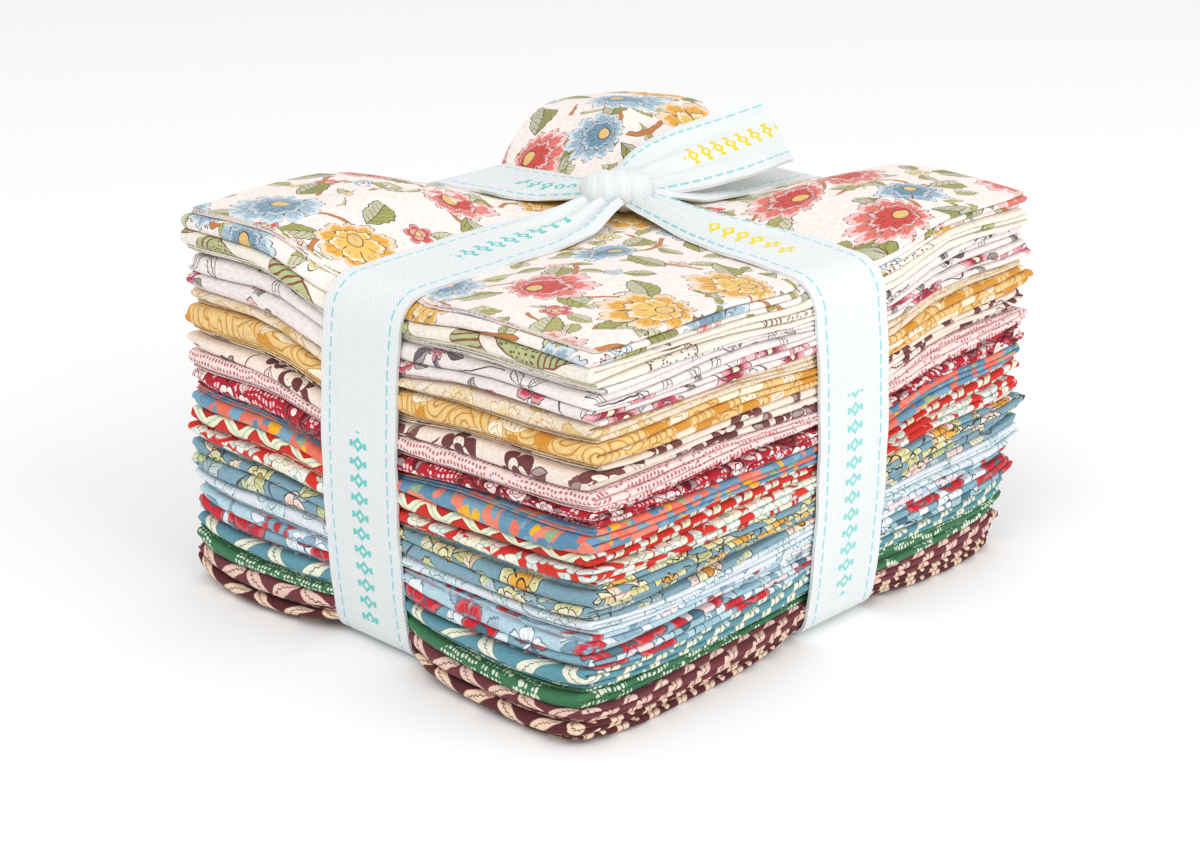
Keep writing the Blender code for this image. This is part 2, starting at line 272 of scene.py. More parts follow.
@dataclass(frozen=True)
class Stack:
    """The tied stack: where a place of the flat, even stack goes once the tape presses it."""

    half_x: float = CUT_LENGTH / 6
    half_y: float = CUT_WIDTH / 8
    tape_x: float = 9.5
    tape_y: float = 4.5
    tape_half: float = 13.2
    tape_top: float = 89.5
    channel: float = 1.7
    edge_droop: float = 1.2
    crest: float = 0.36
    crest_round: float = 0.34
    lobe_edge: float = 0.78
    plump: float = 1.6
    pressed_in: float = 0.8
    pressed_reach: float = 8.0
    bend_top: float = 8.0
    bend_low: float = 5.0
    bend_spare: float = 0.6
    bow: float = 2.2
    corner_lift: float = 2.2
    lean: float = 1.4
    flat_height: float = sum(cut.pitch for cut in CUTS)
    creases: tuple = (
        (-2.0, 18.0, 150.0, 70.0, 2.4, 3.0),
        (-6.0, -10.0, 222.0, 44.0, 0.8, 4.5),
        (25.0, -10.0, 322.0, 52.0, 0.9, 4.0),
        (24.0, 20.0, 38.0, 58.0, 0.9, 4.5),
    )

    def creased(self, x: Array, y: Array) -> Array:
        """Work out the soft creases that the tape pulls out of each lobe.

        With q the distance from a crease's line over its width and t the way along it, the
        rise is depth * exp(-q * q) * (1.3 q - 0.4) * sin(pi t) ** 0.7.

        Args:
            x: places along X.
            y: places along Y.

        Returns:
            The rise of the top.
        """
        rise = 0.0
        for start_x, start_y, heading, length, depth, width in self.creases:
            cos, sin = math.cos(math.radians(heading)), math.sin(math.radians(heading))
            way = np.clip(((x - start_x) * cos + (y - start_y) * sin) / length, 0.0, 1.0)
            off = ((y - start_y) * cos - (x - start_x) * sin) / width + 1.2 * np.sin(4.0 * way)
            rise = rise + depth * np.exp(-off * off) * (1.3 * off - 0.4) * np.sin(math.pi * way) ** 0.7
        return rise

    def flat(self, share: Array) -> Array:
        """Share of what the tape presses: 1 under it, a straight fall, rounded at the crest."""
        fall = 1.0 - np.maximum(share, 0.0) / self.crest
        whole = 1.0 + math.hypot(1.0, self.crest_round)
        return (fall + np.hypot(fall, self.crest_round)) / whole

    def outer(self, share: Array) -> Array:
        """Share of the way from the crest to the edge, as a smooth rise from nothing."""
        way = np.clip((share - self.crest) / (1.0 - self.crest), 0.0, 1.2)
        return way * way * (1.6 - 0.6 * way)

    def swell(self, share: Array) -> Array:
        """Rise of a lobe: none at the tape, whole at the crest, and less at the edge."""
        return 1.0 - self.flat(share) + (self.lobe_edge - 1.0) * self.outer(share)

    @staticmethod
    def beyond(value: Array, middle: float, pressed: float, half: float) -> tuple[Array, Array]:
        """Find the side of the tape that each place is on, and its share of the way out.

        Args:
            value: places along one axis.
            middle: the tape's middle line on that axis.
            pressed: half the width that the tape presses.
            half: half the folded size on that axis.

        Returns:
            Whether each place is past the middle, and 0 at the tape's edge to 1 at the end.
        """
        past = value > middle
        side = np.where(past, 1.0, -1.0)
        start = middle + side * pressed
        return past, side * (value - start) / (half - side * start)

    def heights(self, x: Array, y: Array) -> tuple[Array, Array]:
        """Work out the top and the underside of the tied stack.

        Top = the tape's level + crown * swell along X * swell along Y, with the edges let
        down under the tape.  Underside = a channel for each band, and lifted corners.

        Args:
            x: places along X.
            y: places along Y.

        Returns:
            The height of the underside and of the top.
        """
        past_x, share_x = self.beyond(x, self.tape_x, self.tape_half, self.half_x)
        past_y, share_y = self.beyond(y, self.tape_y, self.tape_half, self.half_y)
        crown = np.where(past_x, np.where(past_y, 16.0, 9.0), np.where(past_y, 10.0, 3.5))
        flat_x, flat_y = self.flat(share_x), self.flat(share_y)
        outer_x, outer_y = self.outer(share_x), self.outer(share_y)
        lobe = crown * self.swell(share_x) * self.swell(share_y)
        top = self.tape_top + lobe - self.edge_droop * (outer_x * flat_y + outer_y * flat_x)
        top = top + self.creased(x, y)
        low = self.channel * (flat_x + flat_y) + self.corner_lift * (outer_x * outer_y) ** 3
        return low, top

    def pressed(self, value: Array, middle: float) -> Array:
        """How far the tape holds a side in: 1 beside it, fading within its reach."""
        past = np.maximum(np.abs(value - middle) - self.tape_half, 0.0)
        return np.exp(-past / self.pressed_reach)

    def bend_in(self, level: Array) -> Array:
        """How far the tape's round bends push in what lies near the top or the bottom."""
        inset = np.zeros_like(level)
        for depth, bend in ((self.flat_height - level, self.bend_top), (level, self.bend_low)):
            radius = bend + self.bend_spare
            reach = np.clip(radius - depth, 0.0, radius)
            inset = np.maximum(inset, radius - np.sqrt(radius ** 2 - reach ** 2))
        return inset

    def bow_share(self, level: Array) -> Array:
        """Share of the tape's outward bow at a level: none in its bends, whole half-way up."""
        side = self.flat_height - self.bend_top - self.bend_low
        share = np.clip((level - self.bend_low) / side, 0.0, 1.0)
        return 4.0 * share * (1.0 - share)

    def end_shift(self, extra: Array, level: Array, along: Array, middle: float) -> Array:
        """Work out how far an end lies beyond its even place.

        Free of the tape it stands out by its own extra and a plump bulge; under the tape
        it is held in, most at the tape's bends and least half-way up, where the tape bows.

        Args:
            extra: the end's own unevenness.
            level: its level in the flat stack.
            along: its place along the side.
            middle: the middle of the tape on that side.

        Returns:
            The shift outwards.
        """
        held = self.pressed(along, middle)
        share = self.bow_share(level)
        reach = self.bow * share - self.pressed_in - self.bend_in(level)
        tucked = np.minimum(extra + self.plump * share, reach)
        return held * tucked + (1.0 - held) * (extra + self.plump)

    def squash(self, x: Array, y: Array, level: Array) -> Array:
        """Let thick and thin places wander through the layers, and the middle ones lean.

        Two slow waves move the levels up and down by part of a millimetre, less at the top
        and the bottom, and half-way up they rise by lean towards +X and -Y.  All these
        slopes stay under 1, so no layer passes another.

        Args:
            x: places along X.
            y: places along Y.
            level: levels in the flat stack.

        Returns:
            The moved levels.
        """
        inside = np.clip(np.minimum(level, self.flat_height - level) / 5.0, 0.0, 1.0)
        wide = np.sin(level * 0.53 + x * 0.061 + 1.7 * np.sin(y * 0.043 + 0.6))
        close = np.sin(level * 1.27 - y * 0.093 + 1.3 * np.sin(x * 0.071 + level * 0.21))
        share = level / self.flat_height
        lean = self.lean * (x / self.half_x - y / self.half_y) * share * (1.0 - share)
        return level + inside * (0.5 * wide + 0.17 * close) + 4.0 * lean

    def tied(self, x: Array, y: Array, level: Array) -> Array:
        """Move places of the flat stack to where they lie in the tied one.

        Args:
            x: places along X.
            y: places along Y.
            level: levels, 0 to flat_height.

        Returns:
            Points, with X, Y and Z last.
        """
        low, top = self.heights(x, y)
        share = self.squash(x, y, level) / self.flat_height
        z = low + (top - low) * share
        return np.stack(np.broadcast_arrays(x, y, z), axis=-1)


STACK = Stack()


def stations(middle: float, half: float, count: int) -> Array:
    """Places along one axis for a panel's grid, close together at the ends and the tape.

    Each stretch, before, under and after the tape, is spaced as the cosine of an even
    angle.

    Args:
        middle: the tape's middle line.
        half: half the panel's size.
        count: steps in each stretch outside the tape.

    Returns:
        The places, from -half to half.
    """
    marks = (-half, middle - STACK.tape_half, middle + STACK.tape_half, half)
    places = [np.array([-half])]
    for start, stop, steps in zip(marks[:-1], marks[1:], (count, 5, count)):
        way = 0.5 - 0.5 * np.cos(np.linspace(0.0, math.pi, steps + 1)[1:])
        places.append(start + (stop - start) * way)
    return np.concatenate(places)


# Meshes


def grid_faces(rows: int, columns: int) -> Array:
    """Quads of a grid whose points are numbered row by row."""
    corner = np.arange(rows * columns).reshape(rows, columns)
    quads = (corner[:-1, :-1], corner[1:, :-1], corner[1:, 1:], corner[:-1, 1:])
    return np.stack(quads, axis=-1).reshape(-1, 4)


def closed_sheet(front: Array, back: Array) -> tuple[Array, Array]:
    """Join the two sides of a sheet round its rim.

    Args:
        front: points of one side on a grid.
        back: points of the other side on the same grid.

    Returns:
        All points, front side first, and the quads.
    """
    rows, columns = front.shape[:2]
    points = np.concatenate([front.reshape(-1, 3), back.reshape(-1, 3)])
    number = np.arange(rows * columns).reshape(rows, columns)
    loop = [number[:, 0], number[-1, 1:], number[-2::-1, -1], number[0, -2:0:-1]]
    rim = np.concatenate(loop)
    after = np.roll(rim, -1)
    far = rows * columns
    wall = np.stack([rim, rim + far, after + far, after], axis=-1)
    quads = grid_faces(rows, columns)
    return points, np.concatenate([quads, quads[:, ::-1] + far, wall])


def signed_volume(points: Array, quads: Array) -> float:
    """Volume inside closed quads: a sixth of the sum of each half's triple product."""
    a, b, c, d = (points[quads[:, corner]] for corner in range(4))
    halves = np.cross(a, b) * c + np.cross(a, c) * d
    return float(halves.sum() / 6)


def make_piece(name: str, points: Array, quads: Array, uv: Array, printed: Array) -> bpy.types.Object:
    """Make an object from points in millimetres, with its faces pointing out.

    Args:
        name: the object's name.
        points: all its points.
        quads: four point numbers for each face.
        uv: each point's place on the flat cloth, in metres.
        printed: 1 on the right side of the cloth, 0 on the wrong side.

    Returns:
        The new object.
    """
    if signed_volume(points, quads) < 0:
        quads = quads[:, ::-1]
    mesh = bpy.data.meshes.new(name)
    mesh.from_pydata(points * MM, [], quads.tolist())
    layer = mesh.uv_layers.new(name="cloth")
    layer.data.foreach_set("uv", uv[quads.ravel()].astype(np.float32).ravel())
    side = mesh.attributes.new("printed", "FLOAT", "POINT")
    side.data.foreach_set("value", printed.astype(np.float32))
    mesh.shade_smooth()
    mesh.set_sharp_from_angle(angle=math.radians(55))
    item = bpy.data.objects.new(name, mesh)
    bpy.context.scene.collection.objects.link(item)
    return item


# The folded cuts


class FoldedCut:
    """One cut as a single sheet through all its folds."""

    thickness: float = 0.24
    strip_gap: float = 0.08
    shrink: float = 22.0
    usual_steps: int = 8
    lowest_steps = {19: 13, 20: 22}

    def __init__(self, cut: Cut, base: float, steps: int):
        """Take the cut's row, the level that it starts at and its grid's fineness."""
        self.cut = cut
        self.base = base
        self.strip = cut.pitch / 3
        self.thick = self.strip - self.strip_gap
        self.facing = 1.0 if cut.wrap == "lower" else -1.0
        self.along_x = stations(STACK.tape_x, STACK.half_x, steps)
        self.along_y = stations(STACK.tape_y, STACK.half_y, steps)
        self.random = np.random.default_rng(sum(cut.name.encode()))

    @staticmethod
    def bend(centre: Row, radius: float, angles: Row, steps: int, outwards: float) -> Array:
        """Points and right-side directions of a round fold.

        Point = centre + radius * (cos, sin); direction = outwards * (cos, sin).

        Args:
            centre: middle of the bend.
            radius: its radius.
            angles: first and last angle, in degrees.
            steps: how many pieces it has.
            outwards: 1 if the right side is outside, -1 if it is inside.

        Returns:
            Rows of two places and two directions, without the two ends.
        """
        angle = np.radians(np.linspace(*angles, steps + 1)[1:-1])
        ring = np.stack([np.cos(angle), np.sin(angle)], axis=-1)
        return np.hstack([np.array(centre) + radius * ring, outwards * ring])

    @staticmethod
    def run(places: Array, level: float, up: float) -> Array:
        """Straight stretch of a fold's path: its places at one level, facing up or down."""
        flat = np.ones_like(places)
        return np.stack([places, level * flat, 0 * flat, up * flat], axis=-1)

    def quarters(self) -> tuple[Array, Array]:
        """Path of the cloth across the strip, folded in half twice.

        It runs from one raw edge at +Y over the top, round the fold at -Y, under the
        strip, back inside and round the inner fold to the other raw edge.

        Returns:
            Rows of (y, offset across the strip, direction y, direction across), and which
            of the four panels each row belongs to.
        """
        wide, narrow = self.thick * 3 / 8, self.thick / 8
        turn_y = -STACK.half_y + wide
        far_y = STACK.half_y - narrow
        inside = self.along_y[(self.along_y > turn_y + 0.3) & (self.along_y < far_y - 0.3)]
        panel = np.concatenate([[turn_y], inside, [far_y]])
        outer_fold = self.bend((turn_y, 0.0), wide, (90, 270), 7, 1.0)
        back_fold = self.bend((far_y, -self.thick / 4), narrow, (-90, 90), 4, 1.0)
        inner_fold = self.bend((turn_y, 0.0), narrow, (270, 90), 4, -1.0)
        stretches = (
            (self.run(panel[::-1], wide, 1.0), 0),
            (outer_fold, 0),
            (self.run(panel, -wide, -1.0), 1),
            (back_fold, 1),
            (self.run(panel[::-1], -narrow, 1.0), 2),
            (inner_fold, 2),
            (self.run(panel, narrow, -1.0), 3),
        )
        path = np.concatenate([rows for rows, _ in stretches])
        return path, np.concatenate([np.full(len(rows), order) for rows, order in stretches])

    def thirds(self) -> tuple[Array, Array]:
        """Path of the strip along the stack, folded back and forth.

        Returns:
            Rows of (x, level, direction x, direction level), and the end that each row is
            nearest to: 0 the lower free end, 1 the lower fold, 2 the upper fold, 3 the
            upper free end.
        """
        radius = self.strip / 2
        turn_x = STACK.half_x - radius
        inside = self.along_x[np.abs(self.along_x) < turn_x - 0.3]
        run = np.concatenate([[-turn_x], inside, [turn_x]])
        levels = self.base + self.strip * (np.arange(3) + 0.5)
        lower = self.bend((-turn_x, levels[0] + radius), radius, (-90, -270), 9, -1.0)
        upper = self.bend((turn_x, levels[1] + radius), radius, (-90, 90), 9, 1.0)
        stretches = (
            self.run(run[::-1], levels[0], 1.0),
            lower,
            self.run(run, levels[1], -1.0),
            upper,
            self.run(run[::-1], levels[2], 1.0),
        )
        path = np.concatenate(stretches)
        near = path[:, 0] < 0
        strip = np.repeat([0, 0, 1, 2, 2], [len(rows) for rows in stretches])
        ends = np.choose(strip, [np.where(near, 1, 0), np.where(near, 1, 2), np.where(near, 3, 2)])
        ends[len(run):len(run) + len(lower)] = 1
        path[:, 0] *= self.facing
        path[:, 2] *= self.facing
        return path, ends

    def wave(self, along: Array, size: float) -> Array:
        """Slow unevenness of an edge: three sine waves with their own random phases."""
        phase = self.random.uniform(0.0, 2 * math.pi, 3)
        return size * sum(
            np.sin(along * rate + shift) * share
            for rate, shift, share in zip((0.045, 0.11, 0.23), phase, (1.0, 0.5, 0.22))
        )

    def shape(self, x: Array, y: Array, level: Array, ends: Array, panels: Array) -> Array:
        """Push the even folded sheet to its uneven ends and into the tied stack.

        Each end moves out or in by its own amount, fading over the last part of the
        panel.  Near a fold of the strip the roll takes room from the free layer beside it.

        Args:
            x: even places along X.
            y: even places along Y.
            level: levels in the flat stack.
            ends: the nearest end of the strip, for each row.
            panels: the panel, for each column.

        Returns:
            The points in the tied stack.
        """
        cut = self.cut
        side_x, side_y = np.sign(x), np.sign(y)
        fade_x = np.clip(1 - (STACK.half_x - np.abs(x)) / self.shrink, 0, 1) ** 2
        fade_y = np.clip(1 - (STACK.half_y - np.abs(y)) / self.shrink, 0, 1) ** 2
        extra_x = np.where(x < 0, cut.left, cut.right) + side_x * cut.turn * y / 100
        for end in range(4):
            own = self.wave(y, 0.35) + self.random.uniform(-0.4, 0.3)
            if end in (0, 3):
                layer = self.random.uniform(-0.5, 0.3, 4)[panels]
                own = own + layer - 0.9
            extra_x = extra_x + np.where(ends[:, None, None] == end, own, 0.0)
        extra_y = np.where(y < 0, cut.front, cut.back) + side_y * cut.turn * x / 100
        strip = np.clip(np.floor((level - self.base) / self.strip), 0, 2)
        for order in range(3):
            own = self.wave(x, 0.4) + self.random.uniform(-1.0, 0.7)
            extra_y = extra_y + np.where(strip == order, own, 0.0)
        ragged = self.random.uniform(-0.6, 0.2, 4)[panels]
        extra_y = extra_y + np.where(y > 0, ragged, 0.0)
        least = 0.2 + 1.6 * math.exp(-self.base / 10.0)
        corner = self.random.uniform(least, least + 1.2, 3)[strip.astype(int)] * (fade_x * fade_y) ** 2
        roll = self.base + self.strip * np.where(self.facing * x < 0, 2.0, 1.0)
        room = 0.2 * self.strip * np.clip(1 - np.abs(level - roll) / self.strip, 0, 1)
        level = level + fade_x * room * np.where(self.facing * x < 0, 1.0, -1.0)
        new_x = x + side_x * fade_x * STACK.end_shift(extra_x, level, y, STACK.tape_y)
        new_y = y + side_y * fade_y * STACK.end_shift(extra_y, level, x, STACK.tape_x)
        return STACK.tied(new_x - side_x * corner, new_y - side_y * corner, level)

    @staticmethod
    def lengths(path: Array) -> Array:
        """Distance along a path from its start to each of its points."""
        steps = np.hypot(*np.diff(path[:, :2], axis=0).T)
        return np.concatenate([[0.0], np.cumsum(steps)])

    def slip(self, way: Array, offset: Array) -> Array:
        """Work out how far a layer's cloth runs ahead at the rolls, so that no print stretches.

        A layer that lies an offset outside the middle of the strip turns on a wider radius.
        From the middle of a roll it needs offset * angle more cloth, which fades out along
        the next part of the panel.

        Args:
            way: distance along the strip's path.
            offset: each layer's place across the strip.

        Returns:
            The extra length, for each place along and each layer.
        """
        radius = self.strip / 2
        panel = 2 * STACK.half_x - self.strip
        middle = panel + (way[-1] - 3 * panel) / 4
        ahead = np.zeros_like(way)
        for roll, outwards in ((middle, -1.0), (way[-1] - middle, 1.0)):
            angle = np.clip((way - roll) / radius, -math.pi / 2, math.pi / 2)
            far = np.maximum(np.abs(way - roll) - math.pi / 2 * radius, 0.0)
            ahead += outwards * angle * np.clip(1.0 - far / self.shrink, 0.0, 1.0) ** 2
        return ahead[:, None] * offset

    def build(self) -> bpy.types.Object:
        """Make the sheet: strip path plus its offset across, on both sides of the cloth.

        Returns:
            The cut's object.
        """
        across, panels = self.quarters()
        along, ends = self.thirds()
        sides = np.array([0.5, -0.5]) * self.thickness
        offset = across[:, None, 1] + sides * across[:, None, 3]
        y = across[:, None, 0] + sides * across[:, None, 2]
        x = along[:, 0, None, None] + offset * along[:, 2, None, None]
        level = along[:, 1, None, None] + offset * along[:, 3, None, None]
        x, y, level = np.broadcast_arrays(x, y, level)
        points = self.shape(x, y, level, ends, panels[:, None])
        vertices, quads = closed_sheet(points[:, :, 0], points[:, :, 1])
        u, v = np.meshgrid(self.lengths(along), self.lengths(across), indexing="ij")
        u = u + self.slip(self.lengths(along), across[:, 1])
        uv = np.tile(np.stack([u.ravel(), v.ravel()], axis=-1) * MM, (2, 1))
        printed = np.repeat([1.0, 0.0], u.size)
        return make_piece(self.cut.name, vertices, quads, uv, printed)


# The tape


@dataclass(frozen=True)
class Tape:
    """Woven tape round the stack both ways, pleated into a wrapped knot with a free end."""

    width: float = 25.4
    thick: float = 0.8
    seat: float = 0.75
    knot: Row = (8.0, 5.5, 94.8)
    knot_half: Row = (9.2, 7.0, 5.0)
    knot_turn: float = -0.80
    steps_across: int = 20

    ARM = ((30.0, 0.0, 25.4), (20.0, 0.7, 22.0), (12.0, 2.4, 16.0), (5.0, 3.8, 11.0))
    SLIM_ARM = ((46.0, 0.0, 25.4), (32.0, 0.3, 20.0), (19.0, 1.4, 13.5), (5.0, 3.6, 9.0))
    TAIL = (
        (10.0, 4.8, 96.0, 0.85, 0.53, 9.0),
        (18.0, 4.4, 97.6, 0.88, 0.48, 15.0),
        (28.0, 3.6, 98.6, 0.91, 0.41, 21.0),
        (40.0, 2.6, 99.4, 0.93, 0.37, 24.6),
        (52.0, 1.6, 100.4, 0.94, 0.34, 25.4),
        (63.0, 0.6, 101.6, 0.94, 0.34, 25.4),
    )
    TAIL_SLANT = 7.0

    @staticmethod
    def resample(rows: Array, step: float, blur: int) -> Array:
        """Space a path's rows evenly and round its corners.

        Straight interpolation along the length, then a running mean that keeps the ends.

        Args:
            rows: place and other columns; the first three are the place.
            step: spacing wanted.
            blur: how many neighbours each side the mean takes.

        Returns:
            The new rows.
        """
        distance = np.concatenate([[0], np.cumsum(np.linalg.norm(np.diff(rows[:, :3], axis=0), axis=1))])
        even = np.linspace(0, distance[-1], int(distance[-1] / step) + 2)
        dense = np.stack([np.interp(even, distance, column) for column in rows.T], axis=-1)
        padded = np.concatenate([
            2 * dense[0] - dense[blur:0:-1],
            dense,
            2 * dense[-1] - dense[-2:-blur - 2:-1],
        ])
        kernel = np.ones(2 * blur + 1) / (2 * blur + 1)
        return np.stack([np.convolve(column, kernel, "valid") for column in padded.T], axis=-1)

    def band(self, rows: Array, start: float, slant: float = 0.0) -> tuple[Array, Array, Array]:
        """Sweep the tape along a path.

        Across the tape q runs from -1 to 1: point = middle + across * q * width / 2 +
        up * (pleats + edge).  Pleats are three sine waves as deep as takes up the spare
        width.

        Args:
            rows: x, y, z, across x, across y, across z and width.
            start: how far along the tape the path starts.
            slant: how much further the last row reaches at one edge.

        Returns:
            Points, quads and flat places.
        """
        middle, across, width = rows[:, :3], rows[:, 3:6], rows[:, 6]
        across = across / np.linalg.norm(across, axis=1, keepdims=True)
        forward = np.gradient(middle, axis=0)
        forward /= np.linalg.norm(forward, axis=1, keepdims=True)
        up = np.cross(forward, across)
        up /= np.linalg.norm(up, axis=1, keepdims=True)
        q = np.linspace(-1.0, 1.0, self.steps_across + 1)
        spare = np.clip(self.width / width - 1.0, 0.0, None)
        depth = (width / (3 * math.pi) * np.sqrt(spare))[:, None] * 0.8
        length = np.concatenate([[0], np.cumsum(np.linalg.norm(np.diff(middle, axis=0), axis=1))])
        ripple = 0.12 * np.sin(length * 0.35 + start)[:, None] * np.abs(q) ** 3
        lift = depth * np.sin(3 * math.pi * q + 0.6) + ripple
        point = middle[:, None] + across[:, None] * (q * width[:, None] / 2)[..., None]
        point = point + up[:, None] * lift[..., None]
        ahead = np.clip((length - length[-1] + 12) / 12, 0, 1)[:, None] * q * slant
        point = point + forward[:, None] * ahead[..., None]
        normal = np.cross(np.gradient(point, axis=0), np.gradient(point, axis=1))
        normal /= np.linalg.norm(normal, axis=2, keepdims=True)
        points, quads = closed_sheet(point + normal * self.thick / 2, point - normal * self.thick / 2)
        u, v = np.meshgrid(start + length, q * self.width / 2, indexing="ij")
        flat = np.tile(np.stack([u.ravel(), v.ravel()], axis=-1) * MM, (2, 1))
        if signed_volume(points, quads) < 0:
            quads = quads[:, ::-1]
        return points, quads, flat

    def loop(self, knot: float, half: float, low: tuple, arm: tuple) -> Array:
        """Path of one wrap in its own plane, from the knot round the stack and back.

        Args:
            knot: the knot's place along this wrap.
            half: half the stack's size along it.
            low: (place, height) points along the underside.
            arm: how the first stretch widens from the knot: distance, rise and width.

        Returns:
            Rows of place along, height and width.
        """
        side = half - STACK.pressed_in + self.seat
        top = STACK.tape_top + self.seat
        first = (np.array(arm) * (-1, 1, 1) + (knot, top, 0))[::-1]
        last = np.array(self.ARM) + (knot, top, 0)
        edge = top - STACK.edge_droop
        big, small = STACK.bend_top + self.seat, STACK.bend_low + self.seat
        angle = np.radians(np.linspace(0, 90, 13))
        turn = np.stack([np.sin(angle), np.cos(angle), 0 * angle], axis=-1)
        centre_top, centre_low = edge - big, low[0][1] + small
        wide = np.array([0, 0, self.width])
        high_left = turn * (-big, big, 0) + (-side + big, centre_top, 0) + wide
        low_left = (turn * (-small, -small, 0))[::-1] + (-side + small, centre_low, 0) + wide
        low_right = turn * (small, -small, 0) + (side - small, centre_low, 0) + wide
        high_right = (turn * (big, big, 0))[::-1] + (side - big, centre_top, 0) + wide
        under = np.array([(place, height, self.width) for place, height in low])
        share = np.linspace(0.0, 1.0, 21)[1:-1]
        bowed = side + STACK.bow * 4.0 * share * (1.0 - share)
        rise = centre_low + (centre_top - centre_low) * share
        right = np.stack([bowed, rise, self.width + 0 * share], axis=-1)
        left = (right * (-1, 1, 1))[::-1]
        sides = [first, high_left, left, low_left, under, low_right, right, high_right, last]
        return np.concatenate(sides)

    def wraps(self) -> list:
        """Both wraps, the one along X below the one along Y where they cross underneath.

        Returns:
            Points, quads and flat places of each.
        """
        low = STACK.channel - self.seat
        crossing = 2 * STACK.channel - self.seat
        ends_x = (-STACK.half_x * 0.55, STACK.half_x * 0.6)
        wrap_x = self.loop(self.knot[0], STACK.half_x, ((ends_x[0], low), (ends_x[1], low)), self.ARM)
        heights = ((-30.0, low), (-12.0, crossing), (21.0, crossing), (36.0, low))
        wrap_y = self.loop(self.knot[1], STACK.half_y, heights, self.SLIM_ARM)
        flat = np.zeros(len(wrap_x))
        rows_x = np.stack(
            [wrap_x[:, 0], flat + STACK.tape_y, wrap_x[:, 1], flat, flat - 1, flat, wrap_x[:, 2]], axis=-1
        )
        flat = np.zeros(len(wrap_y))
        rows_y = np.stack(
            [flat + STACK.tape_x, wrap_y[:, 0], wrap_y[:, 1], flat + 1, flat, flat, wrap_y[:, 2]], axis=-1
        )
        wrap_x = self.band(self.resample(rows_x, 1.5, 1), 0.0)
        wrap_y = self.band(self.resample(rows_y, 1.5, 1), 500.0)
        return [wrap_x, wrap_y]

    def tail(self) -> tuple[Array, Array, Array]:
        """The free end: a twisting band from the knot to its slanting cut."""
        table = np.array(self.TAIL)
        rows = np.column_stack([table[:, :3], 0 * table[:, 0], table[:, 3:]])
        return self.band(self.resample(rows, 1.2, 3), 960.0, self.TAIL_SLANT)

    def knot_roll(self) -> tuple[Array, Array, Array]:
        """The band round the knot: a barrel with fine pleats running round it.

        At angle a round it and share s of its length: radius = barrel(s) * (1 + pleats),
        with barrel(s) = (1 - |s| ** 3) ** 0.5 and the ends closed to a point.

        Returns:
            Points, quads and flat places.
        """
        around, along = 64, 72
        a = np.linspace(0, 2 * math.pi, around, endpoint=False)
        s = np.sin(np.linspace(-math.pi / 2, math.pi / 2, along))[:, None]
        barrel = np.sqrt(np.clip(1 - np.abs(s) ** 3.2, 0, 1))
        pleats = 0.028 * np.sin(15 * s + 1.1 * np.sin(a + 0.4)) * barrel + 0.014 * np.sin(41 * s + a)
        size = barrel * (1 + pleats)
        long = self.knot_half[0] * s + 0 * a
        deep = self.knot_half[1] * size * np.cos(a)
        high = self.knot_half[2] * size * np.sin(a)
        cos, sin = math.cos(self.knot_turn), math.sin(self.knot_turn)
        x = self.knot[0] + long * cos - deep * sin
        y = self.knot[1] + long * sin + deep * cos
        points = np.stack([x, y, self.knot[2] + high], axis=-1).reshape(-1, 3)
        number = np.arange(along * around).reshape(along, around)
        after = np.roll(number, -1, axis=1)
        quads = np.stack([number[:-1], after[:-1], after[1:], number[1:]], axis=-1).reshape(-1, 4)
        u = 1100 + a * self.knot_half[1] + 0 * s
        v = long
        flat = np.stack([u.ravel(), v.ravel()], axis=-1) * MM
        return points, quads, flat

    def build(self) -> bpy.types.Object:
        """Join the wraps, the knot and the free end into one piece of tape."""
        parts = [*self.wraps(), self.tail(), self.knot_roll()]
        points = np.concatenate([part[0] for part in parts])
        starts = np.cumsum([0] + [len(part[0]) for part in parts[:-1]])
        quads = np.concatenate([part[1] + start for part, start in zip(parts, starts)])
        flat = np.concatenate([part[2] for part in parts])
        return make_piece("woven_tape", points, quads, flat, np.ones(len(points)))


# Prints and finishes


@dataclass(frozen=True)
class Cells:
    """Scattered centres: each point's place from the nearest one, and its random numbers."""

    place: Field
    first: Field
    second: Field
    third: Field
    spot: Field

    def polar(self) -> tuple[Field, Field]:
        """Distance and direction from the centre, each centre turned its own way."""
        x, y, _ = self.place.split()
        return self.place.place("LENGTH", output=1), y.math("ARCTAN2", x) + self.first * 2 * math.pi

    def turned(self) -> tuple[Field, Field]:
        """Place from the centre along and across its own random direction."""
        distance, angle = self.polar()
        return distance * angle.math("COSINE"), distance * angle.math("SINE")


def scatter(cloth: Field, spacing: float, jitter: float, shift: Row = (0.0, 0.0)) -> Cells:
    """Scatter centres over the cloth, on a square grid that is pushed about.

    Args:
        cloth: place on the flat cloth, in millimetres.
        spacing: distance between centres.
        jitter: 0 for an even grid, 1 for a loose one.
        shift: how far the grid is moved.

    Returns:
        The centres' cells.
    """
    moved = cloth.place("ADD", (*shift, 0.0)).place("MULTIPLY", (1 / spacing, 1 / spacing, 0.0))
    inputs = {"Vector": moved, "Scale": 1.0, "Randomness": jitter}
    node = add_node(cloth.tree, "TexVoronoi", inputs, voronoi_dimensions="2D")
    spot = Field(cloth.tree, node.outputs["Position"])
    place = moved.place("SUBTRACT", spot).place("MULTIPLY", (spacing, spacing, 0.0))
    return Cells(place, *Field(cloth.tree, node.outputs["Color"]).split(), spot)


